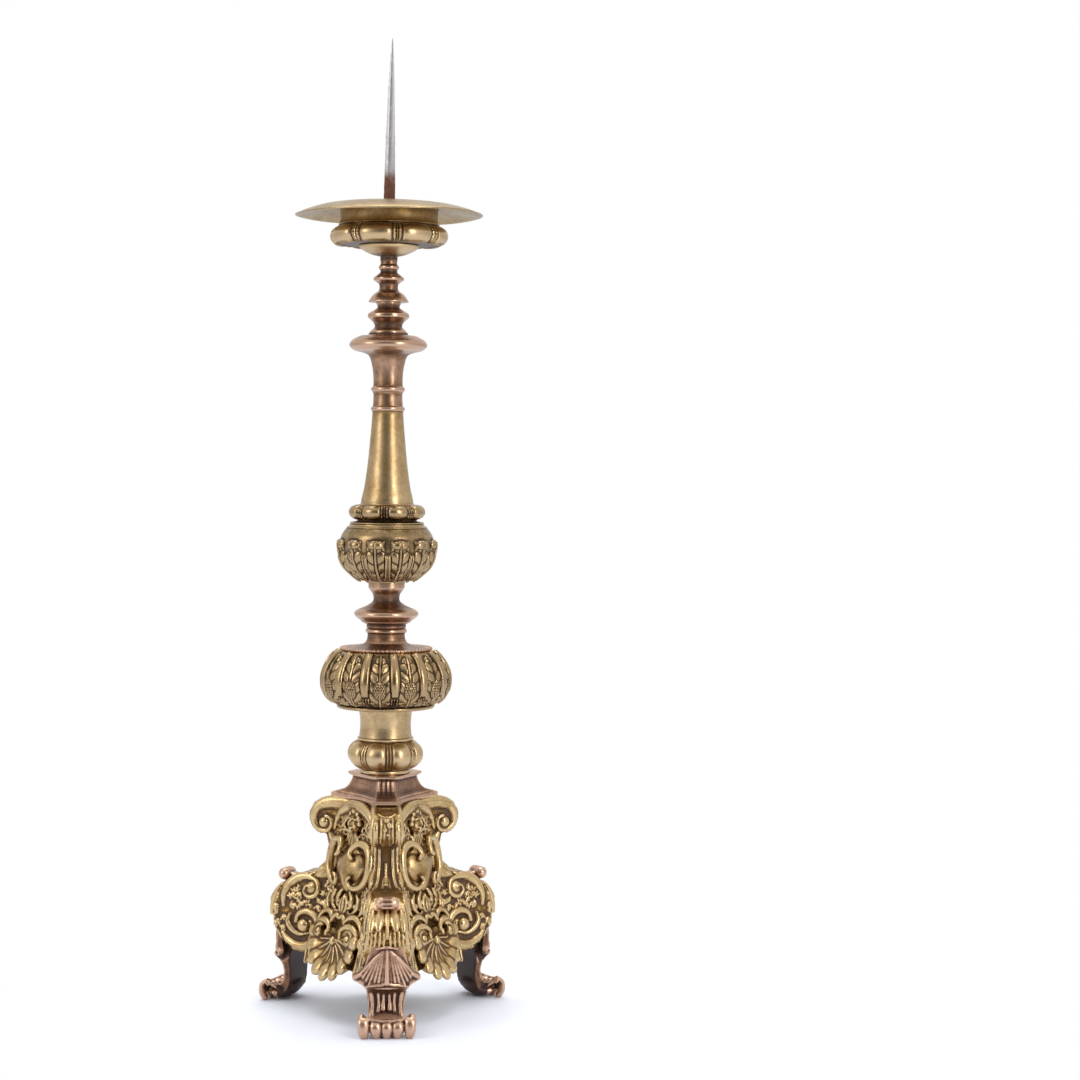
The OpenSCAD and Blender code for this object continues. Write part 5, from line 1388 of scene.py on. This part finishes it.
put(cap, "candlestick", "copper_alloy", "tripod_cap")
print("cap", len(cap.data.vertices), "points, height", round(CAP_H, 1))

# %% [markdown]
# The cup is cast brass: a ring of eight long bosses, tied between, under a smooth collar. The pan
# is spun from thin sheet and lies loose on the collar; years of candles have bent it a little.

# %% Saucer
saucer_low, saucer_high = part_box("pan_saucer")
SAUCER_Z, SAUCER_R = saucer_low.z * 1000, (saucer_high.x - saucer_low.x) * 500
saucer_profile = curve([(8.6, SAUCER_Z), (8.6, SAUCER_Z + 3.4), (9.6, SAUCER_Z + 4.0), (16, SAUCER_Z + 5.4),
                        (22.5, SAUCER_Z + 8.0), (28, SAUCER_Z + 11.2), (SAUCER_R - 0.4, SAUCER_Z + 13.6),
                        (SAUCER_R - 0.4, saucer_high.z * 1000)], 60)
saucer = ring_of(saucer_profile, 160, None, "pan_saucer_turned", BRASS_SMOOTH)
set_wear_and_shade(saucer, np.concatenate([np.repeat(np.interp(saucer_profile[:, 0], [8, 14, 20, 32],
                                                     [0.12, 0.3, 0.62, 0.7]), 160), np.full(320, 0.2)]))
shade(saucer, 50)
put(saucer, "candlestick", "cast_brass", "pan_saucer")
print("saucer", len(saucer.data.vertices), "points; radius", round(SAUCER_R, 1))

# %% Cup
CUP_Z, CUP_TOP = (corner.z * 1000 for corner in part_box("pan_cup"))


def cup_relief_at(x, y, u):
    """Long round bosses with a ribbed tie between each two."""
    half, side, _ = sector(x, y, u)
    zone = np.sin(math.pi * np.clip((y - 19.0) / 25.0, 0, 1)) ** 0.5
    boss = np.clip(1 - (np.abs(x) / np.maximum(half - 5.4, 1)) ** 3, 0, 1) ** 0.5
    tie = (side < 3.6) * (0.9 + 0.7 * np.cos(side * 3.4)) * (0.8 + 0.2 * np.cos(y * 2.4))
    return 3.4 * boss * zone + tie * zone * 1.6


cup_profile = curve([(28, CUP_Z + 0.6), (40, CUP_Z + 0.9), (47.5, CUP_Z + 1.2), (52.6, CUP_Z + 3.2),
                     (55.4, CUP_Z + 7.6), (55.0, CUP_Z + 12.2), (52.0, CUP_Z + 15.8), (49.4, CUP_Z + 17.2),
                     (49.0, CUP_Z + 18.8), (50.2, CUP_Z + 20.2), (49.0, CUP_Z + 22.0), (48.2, CUP_Z + 26),
                     (48.4, CUP_Z + 33), (49.4, CUP_TOP)], 130)
cup_profile[:, 1] = np.clip(cup_profile[:, 1], CUP_Z, CUP_TOP)
cup = ring_of(cup_profile, 320, cup_relief_at, "pan_cup_cast", BRASS_SMOOTH, parts=8, turn=7.0,
              inside=[(46.9, CUP_TOP), (46.9, CUP_Z + 3.5), (BORE, CUP_Z + 3.5), (BORE, CUP_Z)])
wear_from_shape(cup, rounds=(5, 26), gains=(1.8, 0.5), base=0.6)
cup_points = points(cup) * 1000
cup_angle = np.arctan2(cup_points[:, 1], cup_points[:, 0])
# the collar is darker in patches round its top, under the pan, and the cup darker all round its foot, under
# the ring
patches = 0.55 + 0.45 * np.sin(3 * cup_angle + 1.0) * np.cos(2 * cup_angle)
collar_and_foot_darkening = np.clip((cup_points[:, 2] - CUP_Z - 26) / 8, 0, 1) * patches
collar_and_foot_darkening = np.maximum(collar_and_foot_darkening, np.clip((CUP_Z + 2.6 - cup_points[:, 2]) / 1.4, 0, 1) * 0.9)
set_wear_and_shade(cup, wear_and_shade_of(cup) - 0.5 * collar_and_foot_darkening)
shade(cup, 50)
put(cup, "candlestick", "cast_brass", "pan_cup")
print("cup", len(cup.data.vertices), "points; top at", round(CUP_TOP, 1))

# %% Drip pan
pan_low, pan_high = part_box("drip_pan")
PAN_R, PAN_TOP = (pan_high.x - pan_low.x) * 500, pan_high.z * 1000
PAN_FLOOR = PAN_TOP - 10.0
pan_over = curve([(46.0, PAN_TOP), (52, PAN_TOP - 0.2), (68, PAN_TOP - 2.6), (83.7, PAN_TOP - 7.2),
                  (PAN_R - 0.9, PAN_TOP - 10.9)], 40)
pan_rim = [(PAN_R - 0.9 + 0.9 * math.cos(a), PAN_TOP - 11.4 + 0.9 * math.sin(a))
           for a in np.linspace(1.2, -2.4, 9)]
pan_under = [(r - 0.4, z - 1.5) for r, z in pan_over[::-1] if 51 < r < PAN_R - 2]
pan_well = [(50.1, PAN_TOP - 2.0), (44.2, PAN_TOP - 2.0), (44.2, PAN_FLOOR + 0.2), (42.2, PAN_FLOOR - 1.9),
            (6.6, PAN_FLOOR - 1.9), (6.6, PAN_FLOOR), (40.6, PAN_FLOOR), (42.4, PAN_FLOOR + 1.6),
            (42.6, PAN_TOP - 0.8), (43.4, PAN_TOP)]
pan_profile = np.vstack([pan_over, pan_rim, pan_under, pan_well])
around = 240
ang = angles(around)
wave = 0.7 * np.cos(ang - 0.4) + 0.5 * np.cos(2 * ang + 1.1) + 0.3 * np.sin(5 * ang)
bent = np.clip((pan_profile[:, 0] - 52) / 41, 0, 1)[:, None] ** 1.5 * wave[None]
pan_z = np.clip(pan_profile[:, 1][:, None] + bent, pan_low.z * 1000 - 0.4, PAN_TOP)
pan_grid = np.stack([pan_profile[:, 0][:, None] * np.cos(ang), pan_profile[:, 0][:, None] * np.sin(ang),
                     pan_z], 2).reshape(-1, 3) / 1000
pan = mesh_object("drip_pan_spun", pan_grid, grid_faces(len(pan_profile), around), BRASS_SHEET)
bm = bmesh.new()
bm.from_mesh(pan.data)
bmesh.ops.recalc_face_normals(bm, faces=bm.faces)
bm.to_mesh(pan.data)
bm.free()
worn_rows = np.concatenate([np.linspace(0.55, 0.62, len(pan_over)), np.full(len(pan_rim), 0.85),
                            np.linspace(0.6, 0.5, len(pan_under)), np.full(len(pan_well), 0.42)])
set_wear_and_shade(pan, np.repeat(worn_rows, around))
shade(pan, 40)
put(pan, "drip_pan", "sheet_brass", "drip_pan")
print("pan", len(pan.data.vertices), "points; radius", round(PAN_R, 1))

# %% [markdown]
# The spike was forged: eight hammered faces that taper to a point, a little out of true, grey
# above and rusty where candle grease and heat reached it. Below the pan the rod runs on, turned
# true, down to its nut.

# %% Forged spike and rod
SPIKE_FOOT, SPIKE_TIP = PAN_FLOOR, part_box("pricket_rod")[1].z * 1000
rod_solid = points(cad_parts["pricket_rod"]) * 1000
ROD_FOOT = rod_solid[:, 2].min()
rng = np.random.default_rng(11)


def spike_radius(z):
    """Half the width over the flats, from the well's floor to the tip."""
    t = (z - SPIKE_FOOT) / (SPIKE_TIP - SPIKE_FOOT)
    return float(np.interp(t, [0, 0.16, 0.47, 0.74, 0.97, 1], [6.2, 5.77, 4.59, 3.1, 1.0, 0.5]))


ROD_SIDES = 32
rod_rows = [(ROD_FOOT, 4.0), (CUP_Z + 3.5, 4.0), (CUP_Z + 3.5, 9.0), (CUP_Z + 8.5, 9.0), (CUP_Z + 8.5, 6.2)]
a = angles(ROD_SIDES)
rod_rings = [np.stack([r * np.cos(a), r * np.sin(a), np.full(ROD_SIDES, z)], 1) for z, r in rod_rows]
hammer = rng.normal(0, 0.10, (90, 8))
for k, z in enumerate(np.linspace(SPIKE_FOOT - 0.2, SPIKE_TIP, 90)):
    r = spike_radius(z)
    t = max((z - SPIKE_FOOT) / (SPIKE_TIP - SPIKE_FOOT), 0)
    lean_x = 2.0 * t ** 1.4
    face = np.cos(math.pi / 8) / np.cos((a + math.pi / 8) % (math.pi / 4) - math.pi / 8)
    soft = r * (0.75 * face + 0.25) + np.repeat(hammer[k], 4) * min(r / 3, 1)
    rod_rings.append(np.stack([lean_x + soft * np.cos(a), soft * np.sin(a), np.full(ROD_SIDES, z)], 1))
last = (len(rod_rings) - 1) * ROD_SIDES
faces = grid_faces(len(rod_rings), ROD_SIDES, closed=False).tolist()
faces += [list(range(ROD_SIDES))[::-1], [last + k for k in range(ROD_SIDES)]]
rod = mesh_object("pricket_rod_forged", np.vstack(rod_rings) / 1000, faces, IRON)
heights = np.vstack(rod_rings)[:, 2]
set_wear_and_shade(rod, np.interp(heights, [SPIKE_FOOT, SPIKE_FOOT + 18, SPIKE_FOOT + 34, SPIKE_FOOT + 46, SPIKE_TIP],
                        [0.02, 0.04, 0.16, 0.6, 0.8]))
shade(rod, 25)
put(rod, "candlestick", "forged_iron", "pricket_rod")
print("rod", len(rod_rings), "rings; tip at", round(SPIKE_TIP, 1))

# %% [markdown]
# Inside the base an iron spider ties the brackets together, and screws and pins hold the legs and
# leaves. Their solids are right as they are; each is shown by a clean copy with its own metal.

# %% Iron work, screws and pins
for hidden, metal, slot in (("tie_spider", IRON, "forged_iron"), ("tie_washer", STEEL, "steel_screw"),
                            ("tie_nut", STEEL, "steel_screw"), ("leg_screws", STEEL, "steel_screw"),
                            ("leaf_pins", BRASS, "cast_brass")):
    piece = copy_of(hidden, hidden + "_plain", metal)
    set_wear_and_shade(piece, np.full(len(piece.data.vertices), 0.6))
    put(piece, "candlestick", slot, hidden)
print("iron work done")

# %% [markdown]
# A row of beads runs round the foot of the cover over the lower knop. One Geometry Nodes tree
# spaces them: the path is resampled, a small sphere is set on each point and all are made real.

# %% Beads on a path
def beads_tree(name):
    """A tree that sets beads on a path of edges."""
    tree = bpy.data.node_groups.new(name, "GeometryNodeTree")
    tree.is_modifier = True
    face = tree.interface
    face.new_socket("Path", in_out="INPUT", socket_type="NodeSocketGeometry")
    for label, kind in (("Bead radius", "NodeSocketFloat"), ("Count", "NodeSocketInt"),
                        ("Metal", "NodeSocketMaterial")):
        face.new_socket(label, in_out="INPUT", socket_type=kind)
    face.new_socket("Beads", in_out="OUTPUT", socket_type="NodeSocketGeometry")
    into = add(tree, "NodeGroupInput")
    line = add(tree, "GeometryNodeMeshToCurve", Mesh=into.outputs["Path"])
    spaced = add(tree, "GeometryNodeResampleCurve", Curve=line.outputs[0], Count=into.outputs["Count"])
    ball = add(tree, "GeometryNodeMeshIcoSphere", Radius=into.outputs["Bead radius"], Subdivisions=3)
    smooth = add(tree, "GeometryNodeSetShadeSmooth", Geometry=ball.outputs["Mesh"])
    spots = add(tree, "GeometryNodeInstanceOnPoints", Points=spaced.outputs[0], Instance=smooth.outputs[0])
    real = add(tree, "GeometryNodeRealizeInstances", Geometry=spots.outputs[0])
    metal = add(tree, "GeometryNodeSetMaterial", Geometry=real.outputs[0], Material=into.outputs["Metal"])
    out = add(tree, "NodeGroupOutput")
    tree.links.new(metal.outputs[0], out.inputs["Beads"])
    return tree


BEADS = beads_tree("beads_on_path")


def beads(name, path, radius, count, metal, slot, wear_and_shade=0.75):
    """Beads along a closed path in mm, as a finished piece."""
    mesh = bpy.data.meshes.new(name)
    edges = [(k, (k + 1) % len(path)) for k in range(len(path))]
    mesh.from_pydata([tuple(np.asarray(p) / 1000) for p in path], edges, [])
    obj = bpy.data.objects.new(name, mesh)
    bpy.context.scene.collection.objects.link(obj)
    mod = obj.modifiers.new("beads", "NODES")
    mod.node_group = BEADS
    ids = {i.name: i.identifier for i in BEADS.interface.items_tree
           if i.item_type == "SOCKET" and i.in_out == "INPUT"}
    mod[ids["Bead radius"]] = radius / 1000
    mod[ids["Count"]] = count
    mod[ids["Metal"]] = metal
    settle(obj)
    set_wear_and_shade(obj, np.full(len(obj.data.vertices), wear_and_shade))
    put(obj, "candlestick", slot)
    print(name, len(obj.data.vertices), "points")
    return obj


cover_low, cover_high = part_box("knop_cover")
cover_r = (cover_high.x - cover_low.x) * 500
beads("cover_beads", [((cover_r - 1.2) * math.cos(a), (cover_r - 1.2) * math.sin(a),
                       cover_low.z * 1000 + 1.4) for a in np.linspace(0, 2 * math.pi, 120, endpoint=False)],
      1.5, 64, COPPER_TURNED, "copper_alloy")

# %% [markdown]
# The setting is a plain white studio. The camera stands 2.37 m off at the height of the upper
# stem, turned a little to the right and down, which is how the photograph was framed. The world
# is white to the camera; what the metal reflects is a bright room with a darker side behind the
# camera, so that round pieces get bright edges and one dark band.

# %% Floor
def studio_floor(name, code):
    """A pale matt floor that keeps the shadow near the object and is plain white further off."""
    mat, t = new_material(name)
    shader = add(t, "ShaderNodeBsdfPrincipled", Base_Color=linear(code), Roughness=0.6)
    place = add(t, "ShaderNodeTexCoord").outputs["Object"]
    away = add(t, "ShaderNodeVectorMath", {"operation": "LENGTH"}, i0=place).outputs["Value"]
    far = add(t, "ShaderNodeMapRange", {"clamp": True, "interpolation_type": "SMOOTHSTEP"}, Value=away,
              From_Min=0.16, From_Max=0.4, To_Min=0.0, To_Max=1.0).outputs[0]
    path = add(t, "ShaderNodeLightPath")
    seen = add(t, "ShaderNodeMath", {"operation": "MAXIMUM"}, i0=path.outputs["Is Camera Ray"],
               i1=path.outputs["Is Transmission Ray"]).outputs[0]
    mix = add(t, "ShaderNodeMath", {"operation": "MULTIPLY"}, i0=far, i1=seen).outputs[0]
    white = add(t, "ShaderNodeEmission", Color=linear("FFFFFF"), Strength=1.0)
    both = add(t, "ShaderNodeMixShader", Fac=mix, i1=shader.outputs[0], i2=white.outputs[0])
    add(t, "ShaderNodeOutputMaterial", Surface=both.outputs[0])
    return mat


floor_half = 6.0
floor = mesh_object("floor", [(-floor_half, -floor_half, 0), (floor_half, -floor_half, 0),
                              (floor_half, floor_half, 0), (-floor_half, floor_half, 0)],
                    [(0, 1, 2, 3)], studio_floor("floor_pale", "EBEFF9"), smooth=False)
print("floor", 2 * floor_half, "m wide")

# %% World
world = bpy.data.worlds.new("studio")
bpy.context.scene.world = world
world.use_nodes = True
wt = world.node_tree
wt.nodes.clear()
toward = add(wt, "ShaderNodeTexCoord").outputs["Generated"]
parts = add(wt, "ShaderNodeSeparateXYZ", Vector=toward)
# how much a direction points back at the camera: 1 straight behind it, 0 at the sides
behind = add(wt, "ShaderNodeMapRange", {"clamp": True, "interpolation_type": "SMOOTHSTEP"},
             Value=parts.outputs["Y"], From_Min=-0.95, From_Max=-0.55, To_Min=0.12, To_Max=0.95).outputs[0]
low = add(wt, "ShaderNodeMapRange", {"clamp": True}, Value=parts.outputs["Z"], From_Min=-0.5, From_Max=0.3,
          To_Min=0.45, To_Max=1.0).outputs[0]
room = add(wt, "ShaderNodeMath", {"operation": "MULTIPLY"}, i0=behind, i1=low).outputs[0]
seen = add(wt, "ShaderNodeLightPath").outputs["Is Camera Ray"]
strength = add(wt, "ShaderNodeMix", {"data_type": "FLOAT"}, i0=seen, i2=room, i3=1.0).outputs[0]
ground = add(wt, "ShaderNodeBackground", Color=linear("FFFFFF"), Strength=strength)
add(wt, "ShaderNodeOutputWorld", Surface=ground.outputs[0])
print("world nodes", len(wt.nodes))

# %% Lamps
def lamp(name, place, aim, size, watts):
    """A soft white rectangular lamp at place, facing aim."""
    light = bpy.data.lights.new(name, "AREA")
    light.shape = "RECTANGLE"
    light.size, light.size_y = size
    light.energy = watts
    obj = bpy.data.objects.new(name, light)
    bpy.context.scene.collection.objects.link(obj)
    obj.location = place
    obj.rotation_euler = (Vector(aim) - Vector(place)).to_track_quat("-Z", "Y").to_euler()
    return obj


lamp("key_strip", (1.3, -1.9, 1.1), (0, 0, 0.5), (0.5, 1.8), 22)
lamp("fill_left", (-2.2, -1.2, 1.4), (0, 0, 0.5), (1.0, 1.6), 15)
lamp("top", (0.0, 0.4, 2.6), (0, 0, 0.3), (1.6, 1.6), 30)

# %% Camera
frame_px, sensor_mm = 1080, 36.0
axis_px = 386.8                       # where the stem's axis stands in the frame, from its left
focal_px = 2374.7                     # the lens, in pixels of the frame
camera_away, camera_height = 2.3706, 0.5546
data = bpy.data.cameras.new("camera")
data.sensor_width = sensor_mm
data.lens = sensor_mm * focal_px / frame_px
camera = bpy.data.objects.new("camera", data)
bpy.context.scene.collection.objects.link(camera)
turn = math.atan((frame_px / 2 - axis_px) / focal_px)
dip = math.radians(2.006)
lean = math.radians(0.55)
round_by = math.radians(1.5)           # the base stands turned by this much to the camera
camera.location = (-camera_away * math.sin(round_by), -camera_away * math.cos(round_by), camera_height)
camera.rotation_euler = (Matrix.Rotation(-turn - round_by, 3, "Z")
                         @ Matrix.Rotation(math.pi / 2 - dip, 3, "X")
                         @ Matrix.Rotation(lean, 3, "Z")).to_euler()
bpy.context.scene.camera = camera
bpy.context.scene.view_settings.view_transform = "Standard"
print("camera turned", round(math.degrees(turn), 2), "dipped", round(math.degrees(dip), 2))
